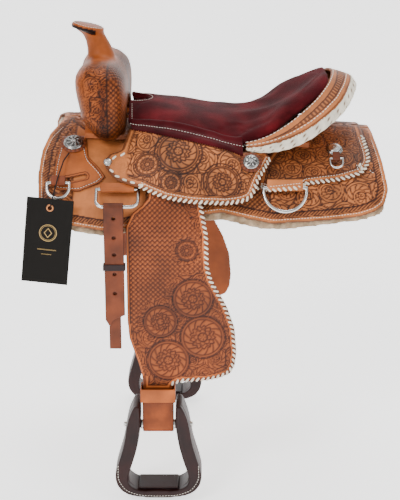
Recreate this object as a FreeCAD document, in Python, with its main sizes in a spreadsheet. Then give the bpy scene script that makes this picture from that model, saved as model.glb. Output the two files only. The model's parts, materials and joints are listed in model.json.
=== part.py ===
import FreeCAD, Part
import math
import os

# Western saddle. Millimetres. +Z up, -X towards the horse's head, -Y the near (left) side.
# The origin is the top of the horse's back under the middle of the seat.

Vec = FreeCAD.Vector
doc = FreeCAD.newDocument("western_saddle")

sizes = {
    "barrelAxisZ": -201.0,
    "barrelTilt": 2.5,
    "woolInner": 206.0,
    "woolOuter": 218.8,
    "skirtInner": 219.0,
    "skirtOuter": 225.0,
    "upperInner": 225.3,
    "upperOuter": 229.4,
    "barInner": 229.8,
    "barOuter": 238.0,
    "barFrontX": -214.0,
    "barLength": 417.0,
    "barInsideY": 48.0,
    "barWidth": 57.0,
    "spineGap": 3.0,
    "sideReach": 270.0,
    "forkHalfWidth": 152.0,
    "gulletHalfWidth": 74.0,
    "gulletTopZ": 64.0,
    "hornNeckBase": 27.0,
    "hornNeckTop": 15.0,
    "hornNeckHeight": 56.0,
    "hornCoreRadius": 9.0,
    "hornCapRadius": 31.0,
    "hornCapThick": 9.0,
    "jockeyThick": 4.5,
    "suedeThick": 9.0,
    "fenderInnerY": 218.0,
    "fenderThick": 4.5,
    "fenderCurve": 230.0,
    "strapWidth": 58.0,
    "strapThick": 4.4,
    "stirrupY": 220.0,
    "stirrupX": -79.0,
    "stirrupDepth": 64.0,
    "boltZ": -516.0,
    "boltRadius": 5.0,
    "rollerRadius": 9.0,
    "latigoWidth": 36.0,
    "billetWidth": 36.0,
    "latigoThick": 3.6,
    "buckleHoleRadius": 3.2,
    "tagWidth": 84.0,
    "tagHeight": 160.0,
    "tagThick": 1.6,
    "cordDiameter": 2.4,
}

sheet = doc.addObject("Spreadsheet::Sheet", "Sizes")
for row, (word, value) in enumerate(sizes.items(), start=1):
    sheet.set(f"A{row}", word)
    sheet.set(f"B{row}", str(value))
    sheet.setAlias(f"B{row}", word)
doc.recompute()


def size(word):
    return float(getattr(sheet, word))


nodes = []


def keep(item, label):
    item.Label = label
    nodes.append(item)
    return item


# --- small builders -------------------------------------------------------

def turned(axis, angle, point=Vec(0, 0, 0)):
    return FreeCAD.Placement(point, FreeCAD.Rotation(axis, angle))


def newBody(name):
    return doc.addObject("PartDesign::Body", name)


def originPlane(body, role):
    return next(item for item in body.Origin.OriginFeatures if item.Role == role)


def newSketch(body, role, geometry, shift=0.0):
    sketch = body.newObject("Sketcher::SketchObject", body.Name + "Sketch")
    sketch.AttachmentSupport = [(originPlane(body, role), "")]
    sketch.MapMode = "FlatFace"
    sketch.AttachmentOffset = FreeCAD.Placement(Vec(0, 0, shift), FreeCAD.Rotation())
    for item in geometry:
        sketch.addGeometry(item)
    return sketch


def flat(points):
    return [Vec(a, b, 0) for a, b in points]


def polygon(points):
    corners = flat(points)
    return [Part.LineSegment(corners[n - 1], corners[n]) for n in range(len(corners))]


def curved(points):
    curve = Part.BSplineCurve()
    curve.interpolate(flat(points))
    return curve


def curvedLoop(over, under):
    """Two smooth curves; their ends are joined by short lines where they don't meet."""
    loop = [curved(over), curved(under)]
    for here, there in ((over[-1], under[0]), (under[-1], over[0])):
        if here != there:
            loop.append(Part.LineSegment(Vec(*here, 0), Vec(*there, 0)))
    return [loop[0], loop[2], loop[1], loop[3]] if len(loop) == 4 else loop


def circle(x, y, radius):
    return [Part.Circle(Vec(x, y, 0), Vec(0, 0, 1), radius)]


def padBody(name, role, geometry, length, shift=0.0, both=False):
    """length is a cell's name or an expression of cells."""
    body = newBody(name)
    sketch = newSketch(body, role, geometry, shift)
    pad = body.newObject("PartDesign::Pad", name + "Pad")
    pad.Profile = sketch
    pad.Midplane = both
    pad.setExpression("Length", length)
    sketch.Visibility = False
    return body


def cylinder(name, radius, height, placement):
    item = doc.addObject("Part::Cylinder", name)
    item.setExpression("Radius", radius)
    item.setExpression("Height", height)
    item.Placement = placement
    return item


def combine(kind, name, base, tool):
    item = doc.addObject("Part::" + kind, name)
    item.Base = base
    item.Tool = tool
    return item


def fuse(name, parts):
    item = doc.addObject("Part::MultiFuse", name)
    item.Shapes = parts
    return item


def mirrored(near, name):
    mirror = doc.addObject("Part::Mirroring", name)
    mirror.Source = near
    mirror.Base = Vec(0, 0, 0)
    mirror.Normal = Vec(0, 1, 0)
    return mirror


def bothSides(near, stem):
    """The near-side piece and its mirror image on the off side, a node each."""
    keep(near, stem + "_near")
    return keep(mirrored(near, stem + "Off"), stem + "_off")


def pairNode(near, label):
    """The near-side piece and its mirror image as two solids of one node."""
    pair = doc.addObject("Part::Compound", label + "Pair")
    pair.Links = [near, mirrored(near, label + "Mirror")]
    return keep(pair, label)


# --- the barrel: every sheet that lies on the horse is part of a long tube ---

barrelBack = 420.0


def barrelAxisZ(x):
    return size("barrelAxisZ") - math.tan(math.radians(size("barrelTilt"))) * x


def barrelPlacement():
    start = Vec(-barrelBack, 0, barrelAxisZ(-barrelBack))
    return turned(Vec(0, 1, 0), 90 + size("barrelTilt"), start)


def tube(name, inner, outer):
    big = cylinder(name + "Outer", "Sizes." + outer, "2 * %s" % barrelBack, barrelPlacement())
    small = cylinder(name + "Inner", "Sizes." + inner, "2 * %s" % barrelBack, barrelPlacement())
    return combine("Cut", name + "Tube", big, small)


def sideOutline(name, geometry):
    return padBody(name, "XZ_Plane", geometry, "Sizes.sideReach", size("spineGap") / 2)


def barrelSheet(stem, inner, outer, geometry):
    outline = sideOutline(stem + "Outline", geometry)
    return combine("Common", stem + "Sheet", tube(stem, inner, outer), outline)


# skirt edge from the rear top, down, forward along the bottom and up at the front
skirtEdge = [
    (322, 40), (330, 2), (338, -28), (345, -70), (336, -93), (318, -104), (290, -112), (230, -118),
    (133, -123), (94, -116), (40, -104), (-40, -112), (-120, -128), (-178, -134), (-232, -125),
    (-280, -110), (-293, -82), (-295, -41), (-291, -6), (-280, 17), (-262, 31), (-240, 34),
    (-200, 20), (-150, 14), (-120, 40),
]
bothSides(barrelSheet("skirt", "skirtInner", "skirtOuter", polygon(skirtEdge)), "skirt")

woolEdge = [
    (318, 40), (326, 2), (335, -28), (341, -72), (335, -106), (318, -114), (290, -121), (230, -127),
    (153, -135), (114, -134), (84, -128), (40, -118), (-40, -124), (-120, -138), (-178, -145),
    (-232, -136), (-276, -118), (-289, -84), (-291, -41), (-287, -8), (-276, 14), (-240, 29),
    (-200, 14), (-150, 10), (-120, 40),
]
pairNode(barrelSheet("wool", "woolInner", "woolOuter", polygon(woolEdge)), "woolskins")

# rear jockey lies on the skirt behind the seat
rearJockeyEdge = [
    (305, 40), (309, 6), (314, -12), (315, -24), (309, -35), (297, -45), (257, -54), (193, -60),
    (131, -66), (101, -66), (112, -30), (140, -4), (200, 14), (240, 40),
]
pairNode(barrelSheet("rearJockey", "upperInner", "upperOuter", polygon(rearJockeyEdge)), "rear_jockeys")

# plain rigging leather in front, with the slot that carries the latigo's end
riggingEdge = [
    (-256, 14), (-264, -20), (-268, -54), (-261, -64), (-220, -67), (-183, -54), (-172, -44),
    (-185, -30), (-205, -14), (-212, 14),
]
slotEdge = [(-246, -53), (-206, -46), (-207, -40), (-247, -47)]
riggingSheet = barrelSheet("rigging", "upperInner", "upperOuter", polygon(riggingEdge) + polygon(slotEdge))
bothSides(riggingSheet, "rigging_leather")

# --- tree -------------------------------------------------------------------

barBox = doc.addObject("Part::Box", "BarBox")
barBox.setExpression("Length", "Sizes.barLength")
barBox.setExpression("Width", "Sizes.barWidth")
barBox.Height = 160
barBox.Placement = FreeCAD.Placement(
    Vec(size("barFrontX"), -size("barInsideY") - size("barWidth"), -60), FreeCAD.Rotation())
pairNode(combine("Common", "bar", tube("barStock", "barInner", "barOuter"), barBox), "tree_bars")

# fork section, seen from the side: over the top from front to back, then under the swell
forkOver = [(-220, 52), (-229, 108), (-225, 134), (-205, 149), (-170, 149), (-146, 133), (-136, 96), (-138, 42)]
forkUnder = [(-138, 42), (-152, 12), (-170, 5), (-198, 22), (-220, 52)]
forkCentre = (-184.0, 84.0)


def scaledSection(points, scale):
    cx, cz = forkCentre
    return [(cx + (x - cx) * scale, cz + (z - cz) * scale) for x, z in points]


def forkLoft(name, grow):
    """Stations run across the saddle; the ends close like an egg."""
    body = newBody(name)
    half = size("forkHalfWidth") + grow
    stations = [(-1.0, 0.42), (-0.93, 0.78), (-0.72, 0.98), (0.0, 0.97), (0.72, 0.98), (0.93, 0.78), (1.0, 0.42)]
    sketches = []
    for place, scale in stations:
        rails = [scaledSection(curve, scale + grow / 75.0) for curve in (forkOver, forkUnder)]
        sketches.append(newSketch(body, "XZ_Plane", curvedLoop(*rails), -place * half))
    loft = body.newObject("PartDesign::AdditiveLoft", name + "Loft")
    loft.Profile = sketches[0]
    loft.Sections = sketches[1:]
    gullet = newSketch(body, "YZ_Plane", gulletLine(grow), -260)
    pocket = body.newObject("PartDesign::Pocket", name + "Gullet")
    pocket.Profile = gullet
    pocket.Type = "Length"
    pocket.Length = 200
    pocket.Reversed = True
    return body


def gulletLine(grow):
    half = size("gulletHalfWidth") - grow
    top = size("gulletTopZ") - grow
    bend = 40.0
    left = Vec(-half, top - bend, 0)
    right = Vec(half, top - bend, 0)
    rise = Vec(0, top, 0)
    return [
        Part.LineSegment(Vec(-half, -90, 0), left),
        Part.Arc(left, rise, right),
        Part.LineSegment(right, Vec(half, -90, 0)),
        Part.LineSegment(Vec(half, -90, 0), Vec(-half, -90, 0)),
    ]


coverWall = 4.0
forkCore = forkLoft("forkCore", -coverWall)
coverStock = forkLoft("coverStock", 0.0)
barrelBlock = cylinder("BarrelBlock", "Sizes.barOuter + 0.4", "2 * %s" % barrelBack, barrelPlacement())
coverShell = combine("Cut", "coverShell", combine("Cut", "coverTrim", coverStock, barrelBlock), forkCore)
forkTrim = combine("Cut", "forkTrim", forkCore, barrelBlock)

# horn: a steel core wrapped in leather, with a round cap that tips up in front
neckPlacement = turned(Vec(0, 1, 0), -17, Vec(-184, 0, 142))
socketPlacement = turned(Vec(0, 1, 0), -17, neckPlacement.multVec(Vec(0, 0, -0.05)))
hornCore = cylinder("hornCore", "Sizes.hornCoreRadius", "Sizes.hornNeckHeight + 6", neckPlacement)
coreSocket = cylinder("coreSocket", "Sizes.hornCoreRadius + 0.05", "Sizes.hornNeckHeight + 6.1", socketPlacement)
neckCone = doc.addObject("Part::Cone", "neckCone")
neckCone.setExpression("Radius1", "Sizes.hornNeckBase")
neckCone.setExpression("Radius2", "Sizes.hornNeckTop")
neckCone.setExpression("Height", "Sizes.hornNeckHeight")
neckCone.Placement = neckPlacement
capDisc = cylinder("capDisc", "Sizes.hornCapRadius", "Sizes.hornCapThick", turned(Vec(0, 1, 0), 12, Vec(-213, 0, 198.5)))
keep(combine("Cut", "forkBored", forkTrim, neckCone), "fork")
keep(combine("Cut", "coverBored", coverShell, neckCone), "swell_cover")
keep(hornCore, "horn_core")
keep(combine("Cut", "capBored", capDisc, coreSocket), "horn_cap")
keep(combine("Cut", "wrapTrim", combine("Cut", "wrapBored", neckCone, coreSocket), capDisc), "horn_wrap")

# --- seat -------------------------------------------------------------------

# half sections of the seat's upper face, from the middle out to the edge
seatStations = [
    (-133, [(0, 76), (50, 71), (84, 57), (100, 47)]),
    (-62, [(0, 63), (55, 60), (95, 51), (122, 38)]),
    (0, [(0, 52), (55, 50), (100, 42), (132, 28)]),
    (58, [(0, 46), (55, 46), (102, 37), (138, 14)]),
    (106, [(0, 47), (58, 53), (108, 50), (141, 22)]),
    (150, [(0, 60), (60, 69), (104, 70), (133, 46)]),
    (190, [(0, 85), (55, 93), (92, 92), (114, 74)]),
    (222, [(0, 110), (45, 114), (74, 108), (92, 92)]),
    (240, [(0, 122), (28, 122), (50, 116), (62, 107)]),
]


def across(half):
    """Mirrors half a section to run from edge to edge."""
    return [(-y, z) for y, z in half[:0:-1]] + half


def seatSection(half, drop, depth, inset):
    """A closed section: the upper face lowered by drop, then back underneath."""
    upper = [(max(y - inset * (y > 0), 0), z - drop) for y, z in half]
    lower = [(y * 0.97, z - depth) for y, z in upper]
    return across(upper), across(lower)[::-1]


def seatLoft(name, stations, ruled=False):
    body = newBody(name)
    sketches = [newSketch(body, "YZ_Plane", curvedLoop(*rails), x) for x, rails in stations]
    loft = body.newObject("PartDesign::AdditiveLoft", name + "Loft")
    loft.Ruled = ruled
    loft.Profile = sketches[0]
    loft.Sections = sketches[1:]
    return body


suedeBlank = seatLoft("suedeBlank", [(x, seatSection(half, 0, size("suedeThick"), 0)) for x, half in seatStations])
handHole = cylinder("handHole", "38", "200", turned(Vec(0, 0, 1), 0, Vec(-134, 0, -20)))
suedeNotched = combine("Cut", "suedeNotched", suedeBlank, handHole)
keep(combine("Cut", "suedeSeat", suedeNotched, coverStock), "suede_seat")


# the ground seat lies under the suede and rests on nothing but the bars' ends
groundStations = [(x, seatSection(half, 12.5, 4.0, 14 if x < 140 else 28)) for x, half in seatStations[2:7]]
groundFront = (-94, seatSection([(0, 69), (55, 65), (100, 54), (120, 44)], 12.5, 4.0, 14))
groundLoft = seatLoft("groundLoft", [groundFront] + groundStations, True)
groundTrim = combine("Cut", "groundTrim", groundLoft, barrelBlock)
keep(combine("Cut", "groundSeat", groundTrim, suedeBlank), "ground_seat")

# cantle board and the leather on its back: parts of a cone that flares upward
coneFootZ = 20.5
coneFootRadius = 152.0
coneRise = 92.0
coneFlare = 0.48
coneMiddleX = 90.0


def flaredWall(name, outerAdd, innerAdd):
    walls = []
    for tag, add in (("Outer", outerAdd), ("Inner", innerAdd)):
        cone = doc.addObject("Part::Cone", name + tag)
        cone.Radius1 = coneFootRadius + add
        cone.Radius2 = coneFootRadius + coneFlare * coneRise + add
        cone.Height = coneRise
        cone.Placement = FreeCAD.Placement(Vec(coneMiddleX, 0, coneFootZ), FreeCAD.Rotation())
        walls.append(cone)
    return combine("Cut", name + "Wall", *walls)


# side view of what stays of the cone: the rim drops towards the front
rimLine = [(125, 17), (290, 103.5), (310, 104), (310, 10), (125, 10)]
rimBlock = padBody("rimBlock", "XZ_Plane", polygon(rimLine), "500", 0.0, True)
keep(combine("Common", "cantleBoard", flaredWall("board", -0.4, -15.0), rimBlock), "cantle_board")
rimBlockBack = padBody("rimBlockBack", "XZ_Plane", polygon(rimLine), "500", 0.0, True)
keep(combine("Common", "cantleBack", flaredWall("back", 3.6, 0.0), rimBlockBack), "cantle_back")


def throughPoints(points):
    curve = Part.BSplineCurve()
    curve.interpolate([Vec(*p) for p in points])
    return curve.toShape()


def bandSolid(name, rails):
    """A solid between four rails that run round the cantle; the rails' ends share a plane."""
    full = [[*rail, *[(x, -y, z) for x, y, z in rail[-2::-1]]] for rail in rails]
    edges = [throughPoints(rail) for rail in full]
    faces = [Part.makeRuledSurface(edges[n - 1], edges[n]) for n in range(4)]
    for end in (0, -1):
        corners = [Vec(*rail[end]) for rail in full]
        faces.append(Part.Face(Part.makePolygon(corners + corners[:1])))
    shell = Part.Shell(Part.makeShell(faces).Faces)
    shell.sewShape()
    solid = Part.Solid(shell)
    if solid.Volume < 0:
        solid.reverse()
    item = doc.addObject("Part::Feature", name)
    item.Shape = solid
    return item


# rails of the Cheyenne roll, near side front to the middle at the rear
rollThick = 7.0
rollInner = [(84, -150, 16), (130, -146, 30), (165, -138, 52), (196, -121, 75), (220, -100, 95),
             (238, -68, 112), (246, -34, 121), (249, 0, 124)]
rollOuter = [(84, -164, 10), (130, -170, 18), (165, -166, 29), (198, -156, 44), (228, -138, 62),
             (256, -108, 81), (276, -62, 100), (287, 0, 113)]


def lowered(rail, drop, pull=0.0):
    return [(x - pull * 0.4, y + pull * (y < 0), z - drop) for x, y, z in rail]


rollRails = [rollInner, rollOuter, lowered(rollOuter, rollThick), lowered(rollInner, rollThick)]
keep(bandSolid("cheyenneRoll", rollRails), "cheyenne_roll")

# the laced binding hangs over the roll's outer edge
bindTop = [(84, -164.6, 9), (130, -170.8, 17), (165, -167, 28), (198, -157, 43), (228.5, -139, 61),
           (257, -109, 80), (277, -62.5, 99), (288, 0, 112)]
bindOuter = [(84, -167, 4), (130, -175, 7), (166, -172, 14), (200, -163, 27), (231, -146, 44),
             (262, -115, 62), (286, -66, 82), (299, 0, 97)]
bindLow = [(84, -165.5, 3), (130, -171, 1), (165, -168, 8), (198, -159, 21), (228, -143, 38),
           (258, -113, 56), (281, -65, 75), (293, 0, 90)]
bindInner = [(84, -163.5, 2.8), (130, -167, 2), (163, -163, 10), (195, -155, 23), (224, -138, 40),
             (253, -109, 58), (275, -62, 77), (286, 0, 92)]
keep(bandSolid("cantleBinding", [bindTop, bindOuter, bindLow, bindInner]), "cantle_binding")

# --- seat jockey: it stands out over the stirrup leather and comes in at both ends ---

# station x, arc centre y and height, outer radius
jockeyStations = [(-182, 0.0, -193.0, 238.5), (-128, -32.0, -152.0, 200.0), (-70, -49.0, -122.0, 184.0),
                  (20, -49.0, -125.0, 184.0), (80, -38.0, -144.0, 196.0), (140, 0.0, -207.0, 237.0)]
jockeyTopAngle = 112.0
jockeyLowAngle = 200.0


def polar(cy, cz, radius, angle):
    bend = math.radians(angle)
    return Vec(cy + radius * math.cos(bend), cz + radius * math.sin(bend), 0)


def bandArc(cy, cz, outer, thick, start, end):
    middle = (start + end) / 2
    a, b, c = (polar(cy, cz, outer, angle) for angle in (start, middle, end))
    d, e, f = (polar(cy, cz, outer - thick, angle) for angle in (end, middle, start))
    return [Part.Arc(a, b, c), Part.LineSegment(c, d), Part.Arc(d, e, f), Part.LineSegment(f, a)]


jockeyBody = newBody("jockeyBand")
jockeySketches = []
for x, cy, cz, radius in jockeyStations:
    band = bandArc(cy, cz, radius, size("jockeyThick"), jockeyTopAngle, jockeyLowAngle)
    jockeySketches.append(newSketch(jockeyBody, "YZ_Plane", band, x))
jockeyLoft = jockeyBody.newObject("PartDesign::AdditiveLoft", "jockeyLoft")
jockeyLoft.Profile = jockeySketches[0]
jockeyLoft.Sections = jockeySketches[1:]
jockeyEdge = [
    (-140, 8), (-143, 0), (-152, -4), (-165, -8), (-173, -16), (-172, -28), (-163, -38), (-149, -47),
    (-107, -55), (-62, -71), (-13, -79), (47, -82), (76, -79), (92, -73), (99, -62), (104, -48),
    (114, -33), (130, -14), (118, -1), (90, 2), (74, 0), (56, 10), (18, 20), (-18, 28), (-55, 34),
    (-92, 38), (-128, 37),
]
jockeyOutline = sideOutline("jockeyOutline", polygon(jockeyEdge))
jockeyFull = combine("Common", "jockeyFull", jockeyBody, jockeyOutline)
bothSides(combine("Cut", "jockey", jockeyFull, coverStock), "seat_jockey")

# --- conchos and rosettes -----------------------------------------------------

def domed(name, radius, rim, rise):
    """A button: a flat rim with a low raised middle."""
    foot = doc.addObject("Part::Cylinder", name + "Rim")
    foot.Radius = radius
    foot.Height = rim
    crown = doc.addObject("Part::Cone", name + "Crown")
    crown.Radius1 = radius * 0.88
    crown.Radius2 = radius * 0.4
    crown.Height = rise
    crown.Placement = turned(Vec(0, 0, 1), 0, Vec(0, 0, rim))
    return fuse(name, [foot, crown])


def outward(x, z, radius, centre=None):
    """Placement on the tube of this radius, with local Z square to it, near side."""
    cy, cz = centre or (0.0, barrelAxisZ(x))
    y = cy - math.sqrt(radius ** 2 - (z - cz) ** 2)
    lean = math.degrees(math.atan2(cy - y, z - cz))
    return turned(Vec(1, 0, 0), lean, Vec(x, y, z))


frontSeat = outward(-233, 6, 230.8)
midSeat = outward(92, -17, 207.4, (-30.0, -157.0))
rearSeat = outward(250, -8, 230.5)
ferruleSeat = outward(-168, -18, 240.4)

frontRosette = domed("frontRosette", 23.0, 2.4, 0.6)
frontRosette.Placement = frontSeat
frontConcho = domed("frontConcho", 18.5, 1.6, 3.6)
frontConcho.Placement = frontSeat.multiply(turned(Vec(0, 0, 1), 0, Vec(0, 0, 3.2)))
pairNode(frontConcho, "front_conchos")
midRosette = domed("midRosette", 20.0, 2.0, 0.6)
midRosette.Placement = midSeat.multiply(turned(Vec(0, 0, 1), 0, Vec(0, 0, 5.0)))
rosettes = doc.addObject("Part::Compound", "nearRosettes")
rosettes.Links = [frontRosette, midRosette]
pairNode(rosettes, "leather_rosettes")
midConcho = domed("midConcho", 14.5, 1.4, 3.2)
midConcho.Placement = midSeat.multiply(turned(Vec(0, 0, 1), 0, Vec(0, 0, 7.8)))
pairNode(midConcho, "mid_conchos")
rearConcho = domed("rearConcho", 15.5, 1.4, 5.0)
rearConcho.Placement = rearSeat
pairNode(rearConcho, "rear_conchos")
ferrule = domed("ferrule", 8.0, 1.5, 2.0)
ferrule.Placement = ferruleSeat
pairNode(ferrule, "ferrule_screws")

# --- dees and the leather loops that hold them -------------------------------


def bar(name, start, end, radius):
    line = Vec(*end) - Vec(*start)
    item = doc.addObject("Part::Cylinder", name)
    item.Radius = radius
    item.Height = line.Length
    item.Placement = FreeCAD.Placement(Vec(*start), FreeCAD.Rotation(Vec(0, 0, 1), line))
    return item


def ball(name, centre, radius):
    item = doc.addObject("Part::Sphere", name)
    item.Radius = radius
    item.Placement = turned(Vec(0, 0, 1), 0, Vec(*centre))
    return item


def deeRing(name, width, drop, wire, corner):
    """A straight bar along X at the origin, two sides and a foot with round corners."""
    half = width / 2 - wire
    bend = min(corner, half)
    low = wire + bend - drop
    pieces = [bar(name + "Top", (-half, 0, 0), (half, 0, 0), wire)]
    for tag, side, turn in (("A", -1, 90), ("B", 1, 0)):
        pieces.append(ball(name + "Corner" + tag, (side * half, 0, 0), wire))
        if low < 0:
            pieces.append(bar(name + "Side" + tag, (side * half, 0, 0), (side * half, 0, low), wire))
        elbow = doc.addObject("Part::Torus", name + "Elbow" + tag)
        elbow.Radius1 = bend
        elbow.Radius2 = wire
        elbow.Angle3 = 90
        elbow.Placement = FreeCAD.Placement(
            Vec(side * (half - bend), 0, low),
            FreeCAD.Rotation(Vec(1, 0, 0), -90).multiply(FreeCAD.Rotation(Vec(0, 0, 1), turn)))
        pieces.append(elbow)
    if bend < half:
        pieces.append(bar(name + "Foot", (bend - half, 0, wire - drop), (half - bend, 0, wire - drop), wire))
    return fuse(name, pieces)


def loopStrap(name, width, bore, thick, tail):
    """A strap folded round the dee's bar, its two leaves running up."""
    wall = bore + thick
    profile = [
        Part.Arc(Vec(-wall, 0, 0), Vec(0, -wall, 0), Vec(wall, 0, 0)),
        Part.LineSegment(Vec(wall, 0, 0), Vec(wall, tail, 0)),
        Part.LineSegment(Vec(wall, tail, 0), Vec(bore, tail, 0)),
        Part.LineSegment(Vec(bore, tail, 0), Vec(bore, 0, 0)),
        Part.Arc(Vec(bore, 0, 0), Vec(0, -bore, 0), Vec(-bore, 0, 0)),
        Part.LineSegment(Vec(-bore, 0, 0), Vec(-bore, tail, 0)),
        Part.LineSegment(Vec(-bore, tail, 0), Vec(-wall, tail, 0)),
        Part.LineSegment(Vec(-wall, tail, 0), Vec(-wall, 0, 0)),
    ]
    return padBody(name, "YZ_Plane", profile, str(width), 0.0, True)


# middle x, bar's distance out and height, lean, then the ring's width, drop, wire and corner,
# and the width and tail of the strap that holds it
deePlaces = {
    "front_rigging": (-149, 200.0, -60.0, 53, 82, 43, 3.2, 14, 62, 11),
    "rear_rigging": (154, 190.0, -60.0, 33, 84, 48, 3.2, 60, 66, 14),
    "breast_collar": (-256, 192.5, -50.0, 34, 46, 32, 3.0, 60, 26, 12),
    "clip": (250, 146.0, -16.0, 46, 27, 22, 2.0, 60, 14, 12),
}
smallLoops = []
for stem, (x, out, z, lean, width, drop, wire, corner, strap, tail) in deePlaces.items():
    hang = turned(Vec(1, 0, 0), -lean, Vec(x, -out, z))
    ring = deeRing(stem + "Dee", width, drop, wire, corner)
    ring.Placement = hang
    bothSides(ring, stem + "_dee")
    holder = loopStrap(stem + "Loop", strap, wire + 0.5, 2.4, tail)
    holder.Placement = hang
    if strap < 30:
        smallLoops.append(holder)
    else:
        pairNode(holder, stem + "_loops")
smallPair = doc.addObject("Part::Compound", "smallPair")
smallPair.Links = smallLoops
pairNode(smallPair, "small_strap_loops")

# --- fender and stirrup leather -----------------------------------------------

swingX = -62.0
fenderThick = size("fenderThick")
fenderFace = -size("fenderInnerY")
fenderCurve = size("fenderCurve")
bendZ = -150.0
arcMiddleY = fenderFace + fenderCurve


def fenderCut(radius, z):
    return Vec(arcMiddleY - math.sqrt(radius ** 2 - (z - bendZ) ** 2), z, 0)


def fenderArch(topZ, lowZ):
    """Section across the saddle of a sheet that leans in over the skirt."""
    inner = fenderCurve
    outer = fenderCurve + fenderThick
    middle = (topZ + lowZ) / 2
    return [
        Part.Arc(fenderCut(inner, lowZ), fenderCut(inner, middle), fenderCut(inner, topZ)),
        Part.LineSegment(fenderCut(inner, topZ), fenderCut(outer, topZ)),
        Part.Arc(fenderCut(outer, topZ), fenderCut(outer, middle), fenderCut(outer, lowZ)),
        Part.LineSegment(fenderCut(outer, lowZ), fenderCut(inner, lowZ)),
    ]


def fenderProfile(topZ, lowZ):
    """The same sheet carried on straight down below bendZ."""
    arch = fenderArch(topZ, bendZ)[:3]
    lowIn = Vec(fenderFace, lowZ, 0)
    lowOut = Vec(fenderFace - fenderThick, lowZ, 0)
    drop = [
        Part.LineSegment(fenderCut(fenderCurve + fenderThick, bendZ), lowOut),
        Part.LineSegment(lowOut, lowIn),
        Part.LineSegment(lowIn, fenderCut(fenderCurve, bendZ)),
    ]
    return arch + drop


fenderEdge = [
    (-93, -61), (-8, -61), (2, -74), (14, -141), (15, -200), (22, -226), (50, -279),
    (64, -320), (68, -368), (65, -394), (57, -411), (38, -420), (11, -426), (-17, -427), (-40, -429),
    (-51, -436), (-51, -446), (-107, -446), (-108, -418), (-115, -390), (-131, -340), (-134, -305),
    (-134, -124), (-122, -100), (-104, -86), (-93, -74),
]
fenderBand = padBody("fenderBand", "YZ_Plane", fenderProfile(-52.0, -460.0), "320", -70, True)
fenderOutline = sideOutline("fenderOutline", polygon(fenderEdge))
bothSides(combine("Common", "fender", fenderBand, fenderOutline), "fender")

# the short top of the stirrup leather hangs under the jockey and carries the fender
leatherTop = padBody("leatherTop", "YZ_Plane", fenderArch(-30.0, -57.0), "Sizes.strapWidth - 14", swingX, True)
bothSides(leatherTop, "leather_top")

# the strap lies on the skirt where it goes under the tree bar
barStrapEdge = [(swingX - 29, 24), (swingX + 29, 24), (swingX + 29, -21), (swingX - 29, -21)]
pairNode(barrelSheet("barStrap", "upperInner", "upperOuter", polygon(barStrapEdge)), "bar_straps")

# stirrup leather: down behind the fender, round the bolt and up again
stirrupX = size("stirrupX")
stirrupY = -size("stirrupY")
boltZ = size("boltZ")
strapHalf = size("strapWidth") / 2
foldIn = size("rollerRadius") + 0.6
foldOut = foldIn + size("strapThick")
leafTop = -446.0


def leatherFold():
    left, right = stirrupY - foldOut, stirrupY + foldOut
    inLeft, inRight = stirrupY - foldIn, stirrupY + foldIn
    return [
        Part.Arc(Vec(left, boltZ, 0), Vec(stirrupY, boltZ - foldOut, 0), Vec(right, boltZ, 0)),
        Part.LineSegment(Vec(right, boltZ, 0), Vec(right, leafTop, 0)),
        Part.LineSegment(Vec(right, leafTop, 0), Vec(inRight, leafTop, 0)),
        Part.LineSegment(Vec(inRight, leafTop, 0), Vec(inRight, boltZ, 0)),
        Part.Arc(Vec(inRight, boltZ, 0), Vec(stirrupY, boltZ - foldIn, 0), Vec(inLeft, boltZ, 0)),
        Part.LineSegment(Vec(inLeft, boltZ, 0), Vec(inLeft, leafTop, 0)),
        Part.LineSegment(Vec(inLeft, leafTop, 0), Vec(left, leafTop, 0)),
        Part.LineSegment(Vec(left, leafTop, 0), Vec(left, boltZ, 0)),
    ]


def block(name, low, high):
    item = doc.addObject("Part::Box", name)
    item.Length = high[0] - low[0]
    item.Width = high[1] - low[1]
    item.Height = high[2] - low[2]
    item.Placement = FreeCAD.Placement(Vec(*low), FreeCAD.Rotation())
    return item


foldStrap = padBody("foldStrap", "YZ_Plane", leatherFold(), "Sizes.strapWidth", stirrupX, True)
strapBack = fenderFace + 0.4
longStrap = block("longStrap", (stirrupX - strapHalf, strapBack, leafTop + 3), (stirrupX + strapHalf, strapBack + 4.4, -152))
joinStep = block("joinStep", (stirrupX - strapHalf, strapBack, leafTop), (stirrupX + strapHalf, stirrupY + foldOut, leafTop + 6))
bothSides(fuse("stirrupLeather", [foldStrap, longStrap, joinStep]), "stirrup_leather")

# hobble strap: a sleeve round the leaves above the stirrup
hobbleHalf = strapHalf + 4.0
sleeveHalf = 19.0
sleeveWall = 3.0
sleeve = block("sleeve", (stirrupX - hobbleHalf, stirrupY - sleeveHalf, -464), (stirrupX + hobbleHalf, stirrupY + sleeveHalf, -437))
sleeveRoom = block("sleeveRoom", (stirrupX - hobbleHalf + sleeveWall, stirrupY - sleeveHalf + sleeveWall, -480),
                   (stirrupX + hobbleHalf - sleeveWall, stirrupY + sleeveHalf - sleeveWall, -430))
bothSides(combine("Cut", "hobble", sleeve, sleeveRoom), "hobble_strap")

# quick-change buckle: a plate with a sleeve, behind the stirrup leather
platePiece = block("platePiece", (stirrupX - 27, strapBack + 4.7, -330), (stirrupX + 27, strapBack + 7.0, -290))
bothSides(platePiece, "stirrup_buckle")

# --- stirrup ----------------------------------------------------------------

# half outlines from the top of the leg down to the middle of the tread
stirrupOuterHalf = [(44, -467), (56, -496), (65, -545), (79, -596), (81, -622), (66, -645), (36, -655), (0, -657)]
stirrupInnerHalf = [(35, -467), (35, -520), (42, -560), (54, -600), (57, -626), (42, -639), (0, -641)]


def legToLeg(half, side):
    """Runs from one leg's top round the tread to the other; side +1 starts on the rear leg."""
    start = [(stirrupX + side * dx, z) for dx, z in half]
    back = [(stirrupX - side * dx, z) for dx, z in half[-2::-1]]
    return start + back


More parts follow.
